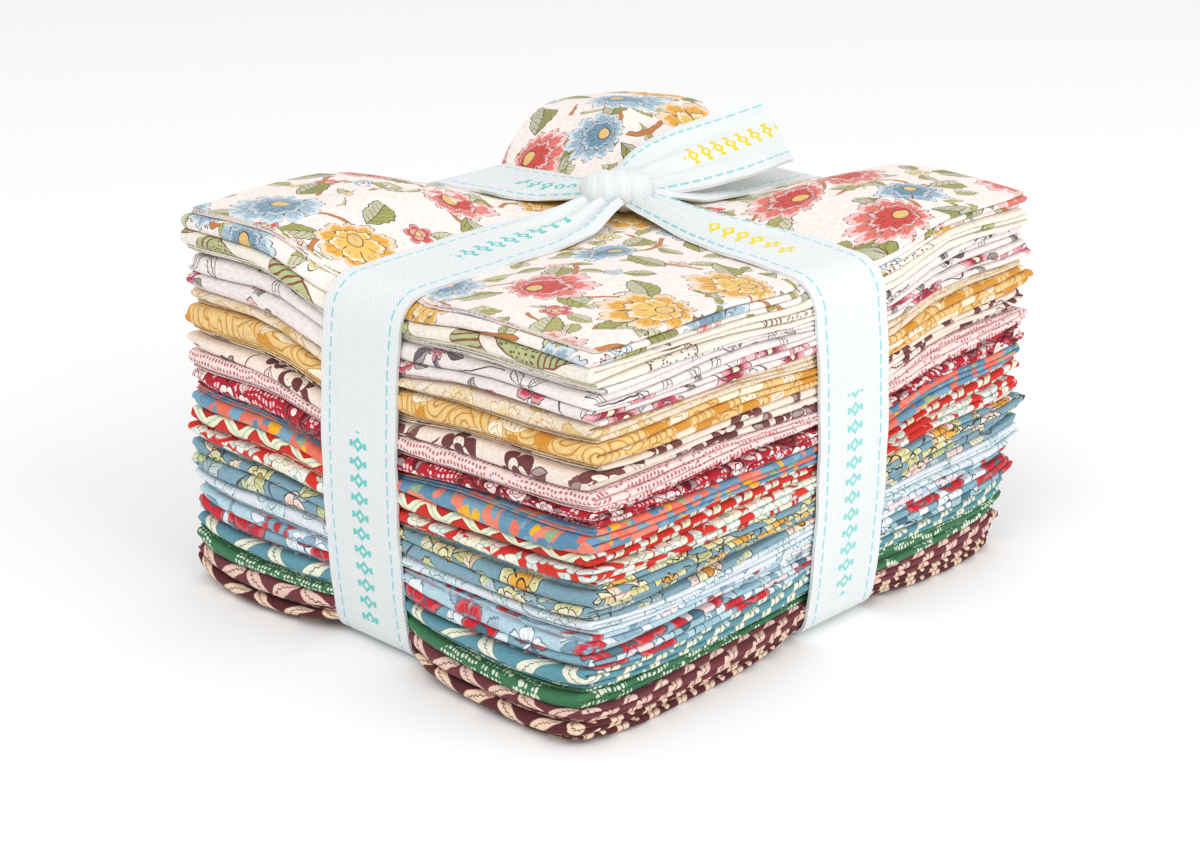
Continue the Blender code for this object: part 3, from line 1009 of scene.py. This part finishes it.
def stems(cloth: Field, spacing: float, jitter: float, width: float, bow: float, share: float,
          shift: Row = (0.0, 0.0)) -> Field:
    """Draw curved stems between neighbouring scattered centres.

    With a and b the places from the nearest and the next centre, the distance from the line
    between them is a x (a - b) / |a - b|; a sine of the way along it bows the line.

    Args:
        cloth: place on the flat cloth.
        spacing: distance between centres.
        jitter: how loose their grid is.
        width: the stem's width.
        bow: how far it bows.
        share: share of the neighbours that it joins.
        shift: how far the grid is moved.

    Returns:
        The stems' mask.
    """
    moved = cloth.place("ADD", (*shift, 0.0)).place("MULTIPLY", (1 / spacing, 1 / spacing, 0.0))
    spots = [
        moved.node(
            "TexVoronoi", {"Vector": moved, "Scale": 1.0, "Randomness": jitter}, "Position",
            voronoi_dimensions="2D", feature=feature,
        )
        for feature in ("F1", "F2")
    ]
    near, far = (moved.place("SUBTRACT", spot) for spot in spots)
    across = near.place("SUBTRACT", far)
    length = across.place("LENGTH", output=1)
    _, _, side = near.place("CROSS_PRODUCT", across.place("NORMALIZE")).split()
    way = near.place("DOT_PRODUCT", across, output=1) / (length * length)
    curve = (way * 2 * math.pi).math("SINE") * (bow / spacing)
    chance = moved.node("TexWhiteNoise", {"Vector": spots[0].place("ADD", spots[1])}, "Value")
    return (abs(side - curve) < width / spacing / 2) & (chance < share)


class Weave(Enum):
    """How a cloth is woven."""

    PLAIN = "plain"
    HERRINGBONE = "herringbone"


@dataclass(frozen=True)
class Cotton:
    """Quilting cotton, plain woven and matt, printed on one side.

    It gives a soft, even surface with a faint grid of threads, and its wrong side is paler.
    """

    ground: str
    weave: Weave = Weave.PLAIN
    wobble: float = 0.6
    thread: float = 0.38
    relief: float = 0.13

    def paint(self, cloth: Field) -> Field:
        """Colour of the right side at a place on the flat cloth, in millimetres."""
        raise NotImplementedError

    def threads(self, place: Field) -> Field:
        """Height of the threads: streaks both ways for plain weave, slanting ribs for twill.

        Plain = noise stretched along plus noise stretched across, drawn wider than real
        threads so that they show.  Herringbone = a sine of the place along plus the folded
        place across.

        Args:
            place: place on the flat cloth.

        Returns:
            Height from -1 to 1.
        """
        if self.weave is Weave.PLAIN:
            fine, long = 1 / self.thread, 0.2 / self.thread
            streaks = [
                place.node(
                    "TexNoise", {"Vector": place.place("MULTIPLY", rate), "Scale": 1.0, "Detail": 0.0},
                    noise_dimensions="2D",
                )
                for rate in ((fine, long, 0.0), (long, fine, 0.0))
            ]
            return (streaks[0] + streaks[1] - 1.0) * 1.6
        x, y, _ = place.split()
        return ((x + abs(y.beyond(6.35))) * (2 * math.pi / self.thread)).math("SINE")

    def dress(self, name: str) -> bpy.types.Material:
        """Make the material.

        Args:
            name: the material's name.

        Returns:
            The material.
        """
        material = bpy.data.materials.new(name)
        material.use_nodes = True
        tree = material.node_tree
        shader = tree.nodes["Principled BSDF"]
        flat = Field(tree, add_node(tree, "UVMap", {}, uv_map="cloth").outputs[0])
        place = flat.place("MULTIPLY", (1 / MM, 1 / MM, 0.0))
        noise = flat.node(
            "TexNoise", {"Vector": place, "Scale": 0.22, "Detail": 1.0}, 1, noise_dimensions="2D"
        )
        hand = noise.place("SUBTRACT", (0.5, 0.5, 0.5)).place("MULTIPLY", (self.wobble * 2,) * 2 + (0.0,))
        colour = self.paint(place.place("ADD", hand))
        threads = self.threads(place)
        tone = threads * self.relief + flat.node("TexNoise", {"Vector": place, "Scale": 0.05}) * 0.06 + 0.93
        grey = flat.node("CombineXYZ", {0: tone, 1: tone, 2: tone})
        colour = colour.under(1.0, grey, "MULTIPLY")
        side = Field(tree, add_node(tree, "Attribute", {}, attribute_name="printed").outputs["Fac"])
        wrong = colour.under(0.72, self.ground)
        tree.links.new(wrong.under(side, colour).socket, shader.inputs["Base Color"])
        bump = flat.node(
            "Bump", {"Strength": 0.5, "Distance": 0.00012, "Height": threads}, "Normal"
        )
        tree.links.new(bump.socket, shader.inputs["Normal"])
        shader.inputs["Roughness"].default_value = 0.84
        shader.inputs["Specular IOR Level"].default_value = 0.3
        shader.inputs["Sheen Weight"].default_value = 0.12
        shader.inputs["Sheen Roughness"].default_value = 0.45
        return material


@dataclass(frozen=True)
class Bouquet(Cotton):
    """Scattered flowers with outlined petals, leaves round them and stems between them."""

    spacing: float = 30.0
    jitter: float = 0.55
    size: float = 9.0
    petals: int = 8
    variety: int = 0
    depth: float = 0.3
    ragged: float = 0.06
    lean: float = 0.2
    blush: float = 0.3
    fills: tuple = ("FFFFFF",)
    inners: tuple = ("FFFFFF",)
    heart: str = "E9C98A"
    line: str = "4A3230"
    line_width: float = 0.32
    leaf: tuple = ("A9A763",)
    leaf_size: Row = (12.0, 3.4)
    leaves: int = 3
    stem: str = "C4793C"
    stem_width: float = 0.7
    stem_share: float = 0.6
    shift: Row = (0.0, 0.0)
    border: float = 0.0
    clear: float = 1.35
    filler: "Cotton | None" = None

    def paint(self, cloth: Field) -> Field:
        """Lay stems, leaves and flowers over the ground, or over a finer scatter."""
        colour = self.filler.paint(cloth) if self.filler else cloth.even(self.ground)
        cells = scatter(cloth, self.spacing, self.jitter, self.shift)
        distance, angle = cells.polar()
        size = (cells.second * 0.4 + 0.8) * self.size
        if self.filler:
            colour = colour.under(distance < size * self.clear, self.ground)
        if self.stem_width:
            for width, tint in ((self.stem_width + self.line_width, self.line), (self.stem_width, self.stem)):
                stem = stems(
                    cloth, self.spacing, self.jitter, width, self.spacing * 0.12, self.stem_share, self.shift
                )
                colour = colour.under(stem, tint)
        if self.leaves:
            colour = self.paint_leaves(colour, distance, angle, size, cells)
        return self.paint_flower(colour, distance, angle, size, cells)

    def paint_leaves(self, colour: Field, distance: Field, angle: Field, size: Field,
                     cells: Cells) -> Field:
        """Lay leaves round each flower: |across| < width * 4t(1 - t) at t of the length.

        Args:
            colour: what lies below.
            distance: distance from the flower's centre.
            angle: direction from it.
            size: the flower's size.
            cells: the flowers' cells.

        Returns:
            The colour with leaves, one half of each paler, with a midrib and slanting veins.
        """
        length, width = self.leaf_size
        swing = (angle + cells.third * 3.0).beyond(2 * math.pi / self.leaves)
        along = (distance * swing.math("COSINE") - size * 0.75) / length
        side = distance * swing.math("SINE") + (along * math.pi).math("SINE") * (0.25 * width)
        across = abs(side)
        notch = (along * 44.0).math("SINE") * 0.05 + 1.0
        reach = along * (1.0 - along) * (4 * width) * notch
        colour = colour.under(across < reach, self.line)
        inside = across < reach - self.line_width
        colour = colour.under(inside, cells.third.picked(self.leaf))
        colour = colour.under(inside & (side > 0.0) & (across < reach), colour.under(0.28, "FFFFFF"))
        vein = (across < self.line_width * 0.4) | ((along * 7.0 - across * 0.5).beyond(1.0) > 0.4)
        return colour.under(inside & vein & (across < reach * 0.7), self.line)

    def paint_flower(self, colour: Field, distance: Field, angle: Field, size: Field,
                     cells: Cells) -> Field:
        """Lay two rings of petals and a heart, each with its outline.

        A ring's edge is at size * lean * (1 - depth + depth * |sin(n a / 2)| ** 0.6 + ragged
        tips), with n petals; the petals are paler outside and have fine lines inside.

        Args:
            colour: what lies below.
            distance: distance from the flower's centre.
            angle: direction from it.
            size: the flower's size.
            cells: the flowers' cells.

        Returns:
            The colour with flowers.  Where the cut folds in thirds, those within border of
            the fold are mostly of the first colour.
        """
        chance = cells.second
        if self.border:
            fold = (cells.spot.split()[0] * self.spacing).beyond(CUT_LENGTH / 3)
            chance = chance * ((abs(fold) < CUT_LENGTH / 6 - self.border) * 0.7 + 0.3)
        lean = angle.math("COSINE") * self.lean + 1.0
        number = (cells.third * 3.0).math("FLOOR") * self.variety + self.petals
        for share, fewer, tints in ((1.0, 0.0, self.fills), (0.6, 2.0, self.inners)):
            turn = angle * (number - fewer) * 0.5
            petal = abs(turn.math("SINE"))
            tip = abs((turn * 3.0).math("SINE"))
            swell = petal.math("POWER", 0.6) * self.depth + tip * self.ragged + (1 - self.depth)
            edge = size * lean * swell * share
            tint = chance.picked(tints)
            colour = colour.under(distance < edge, self.line)
            colour = colour.under(distance < edge - self.line_width, tint.under(self.blush, "FFFFFF"))
            colour = colour.under(distance < edge * 0.82, tint)
            lines = (petal < 0.12) | ((tip < 0.1) & (distance < edge * 0.8))
            colour = colour.under(lines & (distance < edge) & (distance > edge * 0.62), self.line)
        colour = colour.under(distance < size * 0.2 + self.line_width, self.line)
        return colour.under(distance < size * 0.2, self.heart)


@dataclass(frozen=True)
class LeafBands(Cotton):
    """Rows of long leaves that lean to and fro along a zigzag, with dots between the rows."""

    leaf: str = "EDEBCF"
    vein: str = "7E8A80"
    step: float = 10.6
    row: float = CUT_LENGTH / 48
    rise: float = 0.8
    length: float = 6.0
    width: float = 1.45
    slant: float = 0.49

    def paint(self, cloth: Field) -> Field:
        """Leaf = |across| < width * (1 - (along / length) ** 2), slanting each way in turn."""
        x, y, _ = cloth.split()
        side = ((y / (2 * self.step)).math("FRACT") > 0.5) * 2.0 - 1.0
        right, up = y.beyond(self.step), (x + (self.row / 2 - self.rise)).beyond(self.row)
        along = right * math.cos(self.slant) + up * side * math.sin(self.slant)
        across = up * math.cos(self.slant) - right * side * math.sin(self.slant)
        bow = across + (along * along / (self.length * 4.5)) * side
        edge = (along * along / self.length ** 2) * -self.width + self.width
        colour = cloth.even(self.ground)
        colour = colour.under(abs(bow) < edge + 0.22, self.vein)
        colour = colour.under(abs(bow) < edge, self.leaf)
        vein = abs(bow + (along * 5.0).math("SINE") * 0.18) < 0.16
        colour = colour.under(vein & (abs(along) < self.length * 0.75), self.vein)
        bead = y.beyond(self.step / 3)
        gap = x.beyond(self.row)
        return colour.under((bead * bead + gap * gap) < 0.75, self.leaf)


@dataclass(frozen=True)
class Fronds(Cotton):
    """Dotted fronds: rows of dots that show only inside leaf shapes, and dotted blossoms."""

    dot: str = "E9F1DC"
    pitch: float = 1.15
    spacing: float = 11.5
    length: float = 8.5
    width: float = 3.3

    def paint(self, cloth: Field) -> Field:
        """Dots on an even grid, kept where |across| < width * (1 - (along / length) ** 2)."""
        dots = scatter(cloth, self.pitch, 0.2)
        round_dot = dots.place.place("LENGTH", output=1) < self.pitch * 0.33
        cells = scatter(cloth, self.spacing, 0.6, (3.0, 5.0))
        along, across = cells.turned()
        edge = (along * along / self.length ** 2) * -self.width + self.width
        frond = (abs(across) < edge) & (abs(across) > 0.35)
        colour = cloth.even(self.ground).under(round_dot & frond, self.dot)
        buds = scatter(cloth, self.spacing * 0.62, 0.9, (8.0, 1.0))
        distance, angle = buds.polar()
        bud = (distance < abs((angle * 1.5).math("SINE")) * 1.4) & (distance > 0.35) & (buds.third > 0.6)
        return colour.under(bud, self.dot)


@dataclass(frozen=True)
class Zigzag(Cotton):
    """A zigzag with a pale band and an inlaid line above it, and a row of beads."""

    band: str = "F8F0CC"
    inlay: str = "BFDCCD"
    edge: str = "7A2A1E"
    bead: str = "F6F3EC"
    step: float = 12.0
    row: float = CUT_LENGTH / 45
    height: float = 3.4

    def paint(self, cloth: Field) -> Field:
        """Zigzag = height * (|place from each tooth's middle| / half a step - 0.55)."""
        x, y, _ = cloth.split()
        up = (x + self.row / 2).beyond(self.row)
        away = up - abs(y.beyond(self.step)) * (self.height * 2 / self.step) + self.height * 0.55
        colour = cloth.even(self.ground)
        for low, high, tint in (
            (-0.15, 2.7, self.edge), (0.1, 2.45, self.band), (0.95, 1.5, self.inlay)
        ):
            colour = colour.under((away > low) & (away < high), tint)
        bead, gap = y.beyond(self.step / 3), (x + self.row * 0.03).beyond(self.row)
        distance = (bead * bead + gap * gap).math("SQRT")
        colour = colour.under(distance < 1.2, self.inlay)
        return colour.under(distance < 0.9, self.bead)


@dataclass(frozen=True)
class Patches(Cotton):
    """Blunt patches of a few flat colours."""

    tints: tuple = ()
    accents: tuple = ()
    spacing: float = 5.6

    def paint(self, cloth: Field) -> Field:
        """Each patch is the part of the cloth nearest to its centre, measured squarely."""
        blocks = cloth.place("MULTIPLY", (1 / self.spacing, 1 / self.spacing, 0.0))
        inputs = {"Vector": blocks, "Scale": 1.0, "Randomness": 0.9}
        chance = blocks.node(
            "TexVoronoi", inputs, "Color", voronoi_dimensions="2D", distance="CHEBYCHEV"
        ).split()
        colour = chance[0].picked(self.tints)
        fine = scatter(cloth, self.spacing * 0.4, 0.9, (2.0, 6.0))
        colour = colour.under(fine.first > 0.74, fine.second.picked(self.tints))
        return colour.under((fine.second > 0.8) & (chance[1] > 0.45), fine.third.picked(self.accents))


@dataclass(frozen=True)
class Dots(Cotton):
    """Rows of tiny dots all over, with dotted drops."""

    dot: str = "C0707A"
    pitch: float = 1.15
    drop: float = 3.0
    spacing: float = 13.0

    def paint(self, cloth: Field) -> Field:
        """Dots on a nearly even grid; a drop's rim is near its leaning radius."""
        dots = scatter(cloth, self.pitch, 0.12)
        cells = scatter(cloth, self.spacing, 0.8, (4.0, 2.0))
        distance, angle = cells.polar()
        speck = (dots.place.place("LENGTH", output=1) < self.pitch * 0.3) & (distance > self.drop + 0.9)
        rim = abs(distance - self.drop * (angle.math("SINE") * 0.3 + 1.0)) < 0.24
        dotted = (angle * 14.0).math("SINE") > -0.2
        return cloth.even(self.ground).under(speck | (rim & dotted), self.dot)


@dataclass(frozen=True)
class Scrolls(Cotton):
    """Curling lines, with pale and dark leaf shapes between them."""

    curl: str = "CF9440"
    pale: str = "FBF0D8"
    dark: str = "D9952F"
    spacing: float = 12.0

    def paint(self, cloth: Field) -> Field:
        """Curls are a sine of the distance plus the direction from each centre."""
        cells = scatter(cloth, self.spacing, 0.8)
        distance, angle = cells.polar()
        colour = cloth.even(self.ground)
        colour = colour.under((distance * 3.4 + angle).math("SINE") > 0.68, self.curl)
        leaves = scatter(cloth, self.spacing * 0.62, 0.7, (5.0, 9.0))
        along, across = leaves.turned()
        edge = (along * along / 18.0) * -2.2 + 2.2
        tint = leaves.second.picked((self.pale, self.dark, self.ground, self.pale))
        colour = colour.under(abs(across) < edge + 0.25, self.curl)
        colour = colour.under(abs(across) < edge, tint)
        stripe = (abs(across) + along * 0.7).beyond(1.3) > 0.4
        return colour.under(stripe & (abs(across) < edge * 0.7) & (leaves.third > 0.4), self.curl)


@dataclass(frozen=True)
class BigLeaves(Cotton):
    """Large outlined leaves, stippled, with rings across one end."""

    leaf: str = "B9C08A"
    stipple: str = "6B4A3C"
    rings: str = "8C5A48"
    spacing: float = 25.0
    length: float = 15.0
    width: float = 6.0

    def paint(self, cloth: Field) -> Field:
        """Leaf = |across| < width * (1 - (along / length) ** 2); rings are even bars across."""
        cells = scatter(cloth, self.spacing, 0.75, (3.0, 11.0))
        along, across = cells.turned()
        edge = (along * along / self.length ** 2) * -self.width + self.width
        colour = cloth.even(self.ground)
        colour = colour.under(abs(across) < edge + 0.35, self.rings)
        inside = abs(across) < edge
        colour = colour.under(inside, cells.second.picked((self.leaf, self.leaf, self.ground)))
        dots = scatter(cloth, 0.9, 0.8)
        speck = (dots.place.place("LENGTH", output=1) < 0.26) & (dots.first > 0.3)
        colour = colour.under(inside & speck & (along < 5.0), self.stipple)
        bars = (along.beyond(1.6) > 0.25) & (along > 5.0)
        return colour.under(inside & bars, self.rings)


PRINTS = {
    "plum_band_lower": LeafBands("5C2228", leaf="F4D8BE", vein="8C5A4C"),
    "plum_band_upper": LeafBands("73343C", leaf="F0CDBE", vein="8E5650", step=9.4),
    "green_frond": Fronds("3F7A52"),
    "teal_leaf_band": LeafBands(
        "629AA8", leaf="F0F1DC", vein="6F8078", step=12.4, length=9.5, width=1.7, slant=0.78
    ),
    "sky_bloom_lower": Bouquet(
        "86B0BF", spacing=16.0, size=8.4, petals=5, blush=0.1, border=12.0,
        fills=("D2202E", "EAF2F8", "DCEAF0", "D2202E", "F2F5F8", "BFD9E2"),
        inners=("D2202E", "F3D8DA", "9CC2CE"), heart="4F7484", line="46606E", line_width=0.36,
        leaf=("EAF2F6", "5F8698"), leaf_size=(7.0, 2.4), stem="F2F5F8", stem_width=0.8,
    ),
    "sky_bloom_upper": Bouquet(
        "BCD8E2", spacing=18.0, size=6.4, petals=6, blush=0.1, border=10.0,
        fills=("D3303C", "F4F7FA", "F4F7FA", "D8E8EE", "F4F7FA"),
        inners=("8FB0C4", "F6E2E2"), heart="C8303A", line="6E90A4", line_width=0.34,
        leaf=("7FA4BA", "F2F6F8"), leaf_size=(7.0, 2.4), stem="8FB0C4", stem_width=0.6,
    ),
    "pale_outline": Bouquet(
        "E4EAF2", spacing=20.0, size=6.0, petals=7, fills=("E4EFF3", "D6E7EC"),
        inners=("E4EAF2", "C8DEE4"), heart="DCE6E6", line="6C969E", line_width=0.3,
        leaf=("D3E6EA", "E4EAF2"), leaf_size=(8.0, 2.4), stem="86A6AC", stem_width=0.3,
    ),
    "slate_bud": Bouquet(
        "84A8B8", spacing=15.5, size=4.8, petals=6, fills=("F7D5C9", "E6DFA8", "F7D5C9"),
        inners=("FAE6DC", "F2EAC4"), heart="E7A03C", line="43423F", line_width=0.32,
        leaf=("D2D49E", "A5BEC2"), leaf_size=(9.0, 3.2), stem="4C4A46", stem_width=0.25,
    ),
    "slate_leaf": Bouquet(
        "7FA5B4", spacing=16.0, size=4.9, petals=5, fills=("E0DA9C", "F5D3C8", "E0DA9C"),
        inners=("F1EBC0", "F0B24A"), heart="E3A03A", line="3E3C38", line_width=0.34,
        leaf=("DAD498", "CACA90", "EACDA8"), leaf_size=(10.5, 3.8), stem="4C4A46", stem_width=0.3,
    ),
    "red_blossom": Bouquet(
        "DA2F24", spacing=9.6, jitter=0.7, size=4.6, petals=5, blush=0.1, ragged=0.0,
        fills=("FAF8F0", "E3F0EA", "FAF5E0"), inners=("EDF3EC", "FAF5DA"), heart="B4C8BE", line="9CB4AA",
        line_width=0.22, leaf=("F8F2DC", "DCECE4"), leaf_size=(4.0, 1.6), stem="F8F2DC", stem_width=0.3,
    ),
    "red_scallop": Zigzag("D8261D"),
    "slate_coral": Patches(
        "5F93BC", tints=("6C99B6", "EE7660", "7FA9C2", "F08A74", "5E8FAE"),
        accents=("F5B826", "9DB58C", "F08A74"),
    ),
    "crimson_blossom": Bouquet(
        "B8182E", spacing=10.0, jitter=0.85, size=3.7, petals=5, blush=0.1, ragged=0.0,
        fills=("FBEDEA", "6E0C1A", "FBEDEA", "7A0E1C"), inners=("F6D4D4", "B8182E"), heart="FBEFEA",
        line="7A0E1C", line_width=0.24, leaf=("640A16", "F7D8D8"), leaf_size=(4.0, 1.6), stem="640A16",
        stem_width=0.5,
        clear=0.9, filler=Fronds("B8182E", dot="F6CDD0", pitch=1.3, spacing=6.5, length=5.0, width=2.4),
    ),
    "rose_dot": Dots("F6DEDA"),
    "plum_blossom": Bouquet(
        "F5E6D9", spacing=18.0, jitter=0.8, size=5.6, petals=5, blush=0.0, depth=0.45, ragged=0.0,
        fills=("6E3A3C", "7C4646", "6E3A3C"), inners=("F8EADC", "F5E6D9"), heart="6E3A3C",
        line="6E3C3E", line_width=0.3, leaf=("8A5A52", "F5E6D9"), leaf_size=(5.0, 1.7), leaves=2,
        stem="7C4A48", stem_width=0.2, stem_share=0.3,
    ),
    "ochre_scroll": Scrolls("EFCB88"),
    "tan_line": Bouquet(
        "EFDFC8", spacing=15.0, size=5.2, petals=9, fills=("F4E0C0", "F0DAAE"),
        inners=("F8EBD4", "E8CE9C"), heart="D9B370", line="CBA064", line_width=0.26,
        leaf=("E6CC90", "EFDFC8"), leaf_size=(7.0, 2.2), stem="C79C5C", stem_width=0.2,
    ),
    "red_flower": Bouquet(
        "F1E7E5", spacing=18.0, jitter=0.7, size=4.6, petals=6, fills=("D04A5E", "EE9AA4", "D04A5E"),
        inners=("F6CED0", "B03048"), heart="F5E6C8", line="4A3A44", line_width=0.24,
        leaf=("9C9A86", "F1E7E5"), leaf_size=(5.0, 1.3), stem="5A4A52", stem_width=0.15, stem_share=0.25,
    ),
    "dark_sprig": Bouquet(
        "F2EAE8", spacing=21.0, jitter=0.8, size=2.4, petals=9, depth=0.6, fills=("F2EAE8", "D07C88"),
        inners=("F2EAE8", "E8A4A8"), heart="4A4048", line="4E444C", line_width=0.26,
        leaf=("F2EAE8", "7A6A72"), leaf_size=(7.0, 1.3), leaves=5, stem="4E444C", stem_width=0.1,
        stem_share=0.15,
    ),
    "ringed_leaf": BigLeaves("F3ECDF"),
    "ivory_floral": Bouquet(
        "F8ECE6", spacing=28.5, jitter=0.6, size=9.2, petals=9, variety=2, depth=0.36, ragged=0.1,
        lean=0.4, blush=0.45, fills=("9DB7C8", "F3CDC7", "E98A80", "E67B70", "E9AE48", "A9C3D1"),
        inners=("6E93AA", "EAA39C", "D4534B", "CF4C45", "F0C468", "7E9DB2"),
        heart="E6C07A", line="4E3833", line_width=0.26, leaf=("A5A35E", "B4B06C", "99995A"),
        leaf_size=(13.5, 3.6), stem="C77F46", stem_width=1.1,
        filler=Bouquet(
            "F8ECE6", spacing=16.5, jitter=0.75, size=3.1, petals=5, lean=0.0, depth=0.45, ragged=0.0,
            fills=("C3DAEA", "F4CBC4", "EBD898", "D8605A"), inners=("EEF4F8", "F9E0DA", "F3E6BC", "F0A49C"),
            line="4E3833", line_width=0.2, leaves=2, leaf=("A9A763", "B9B478"), leaf_size=(8.0, 2.2),
            stem_width=0.0,
        ),
    ),
}


@dataclass(frozen=True)
class TwillTape(Cotton):
    """White cotton twill tape with a running stitch near each edge and small ornaments.

    Its slanting ribs show as fine lines; the stitches and the ornaments are dyed.
    """

    stitch: str = "9AD9DE"
    width: float = 25.4
    groups: tuple = (
        (14.0, 50.0, "6FD0C9"),
        (109.0, 157.0, "6FD0C9"),
        (524.0, 550.0, "F2DC3A"),
        (592.0, 644.0, "93DBD8"),
        (890.0, 912.0, "6FD0C9"),
        (980.0, 1023.0, "F0D92E"),
    )

    def paint(self, cloth: Field) -> Field:
        """Dashes 3 mm in from each edge; lozenges and leaf pairs along each stretch in groups."""
        x, y, _ = cloth.split()
        edge = self.width / 2 - 3.0
        dash = (abs(abs(y) - edge) < 0.3) & (abs(x.beyond(3.4)) < 1.2)
        colour = cloth.even(self.ground).under(dash, self.stitch)
        bead = x.beyond(4.4)
        slope = abs(bead) + abs(y)
        shown = ((slope < 1.9) & (slope > 0.8)) | ((abs(abs(y) - 2.3) < 0.55) & (abs(bead) < 0.8))
        for start, stop, tint in self.groups:
            colour = colour.under(shown & (x > start) & (x < stop), tint)
        return colour


# Room, light and camera


@dataclass(frozen=True)
class Studio:
    """Pale floor, soft lights and the photograph's camera."""

    lens: float = 72.0
    place: Row = (-0.4075, -0.3854, 0.2487)
    tilt: float = 69.37
    heading: float = -46.33

    def camera(self) -> None:
        """Set the camera at the photograph's angle and distance."""
        data = bpy.data.cameras.new("camera")
        data.lens = self.lens
        data.sensor_width = 36.0
        data.clip_start = 0.01
        item = bpy.data.objects.new("camera", data)
        item.location = self.place
        item.rotation_euler = (math.radians(self.tilt), 0.0, math.radians(self.heading))
        bpy.context.scene.collection.objects.link(item)
        bpy.context.scene.camera = item

    def lamp(self, name: str, place: Row, size: float, power: float) -> None:
        """Hang a square soft light that looks at the bundle.

        Args:
            name: the light's name.
            place: where it hangs, in metres.
            size: its side, in metres.
            power: its power in watts.
        """
        data = bpy.data.lights.new(name, "AREA")
        data.size = size
        data.energy = power
        item = bpy.data.objects.new(name, data)
        item.location = place
        far = np.array([0.0, 0.0, 0.05]) - np.array(place)
        item.rotation_euler = (
            math.atan2(math.hypot(far[0], far[1]), -far[2]),
            0.0,
            math.atan2(far[1], far[0]) - math.pi / 2,
        )
        bpy.context.scene.collection.objects.link(item)

    def build(self) -> None:
        """Set up the floor, the world, the lights and the camera."""
        side = 6.0
        mesh = bpy.data.meshes.new("floor")
        corners = [(-side, -side, 0), (side, -side, 0), (side, side, 0), (-side, side, 0)]
        mesh.from_pydata(corners, [], [(0, 1, 2, 3)])
        floor = bpy.data.objects.new("floor", mesh)
        bpy.context.scene.collection.objects.link(floor)
        paper = bpy.data.materials.new("white_paper_floor")
        paper.use_nodes = True
        shader = paper.node_tree.nodes["Principled BSDF"]
        shader.inputs["Base Color"].default_value = linear("FCFCFC")
        shader.inputs["Roughness"].default_value = 0.9
        mesh.materials.append(paper)
        world = bpy.data.worlds.new("studio")
        world.use_nodes = True
        sky = world.node_tree.nodes["Background"]
        sky.inputs["Color"].default_value = linear("FFFFFF")
        sky.inputs["Strength"].default_value = 0.8
        bpy.context.scene.world = world
        self.lamp("key", (-0.9, -0.2, 1.3), 0.9, 6.2)
        self.lamp("fill", (0.2, -1.2, 0.8), 1.0, 7.0)
        self.camera()
        bpy.context.scene.view_settings.view_transform = "Standard"


def main() -> None:
    """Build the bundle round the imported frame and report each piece."""
    logging.basicConfig(level=logging.INFO, format="%(name)s: %(message)s")
    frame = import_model()
    nodes = {name.split("_", 2)[2]: name for name in frame["nodes"] if name.startswith("cut_")}
    level = 0.0
    for order, cut in enumerate(CUTS):
        fineness = FoldedCut.lowest_steps.get(order, FoldedCut.usual_steps)
        piece = FoldedCut(cut, level, fineness).build()
        piece.data.materials.append(PRINTS[cut.name].dress(f"quilting_cotton_{cut.name}"))
        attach(piece, "root")
        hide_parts(nodes[cut.name])
        LOG.info("%s: %d faces", piece.name, len(piece.data.polygons))
        level += cut.pitch
    tape = Tape().build()
    finish = TwillTape("EAEEEF", weave=Weave.HERRINGBONE, wobble=0.1, thread=0.95, relief=0.03)
    tape.data.materials.append(finish.dress("cotton_twill_tape"))
    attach(tape, "root")
    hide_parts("tape")
    LOG.info("tape: %d faces", len(tape.data.polygons))
    Studio().build()


if __name__ == "__main__":
    main()
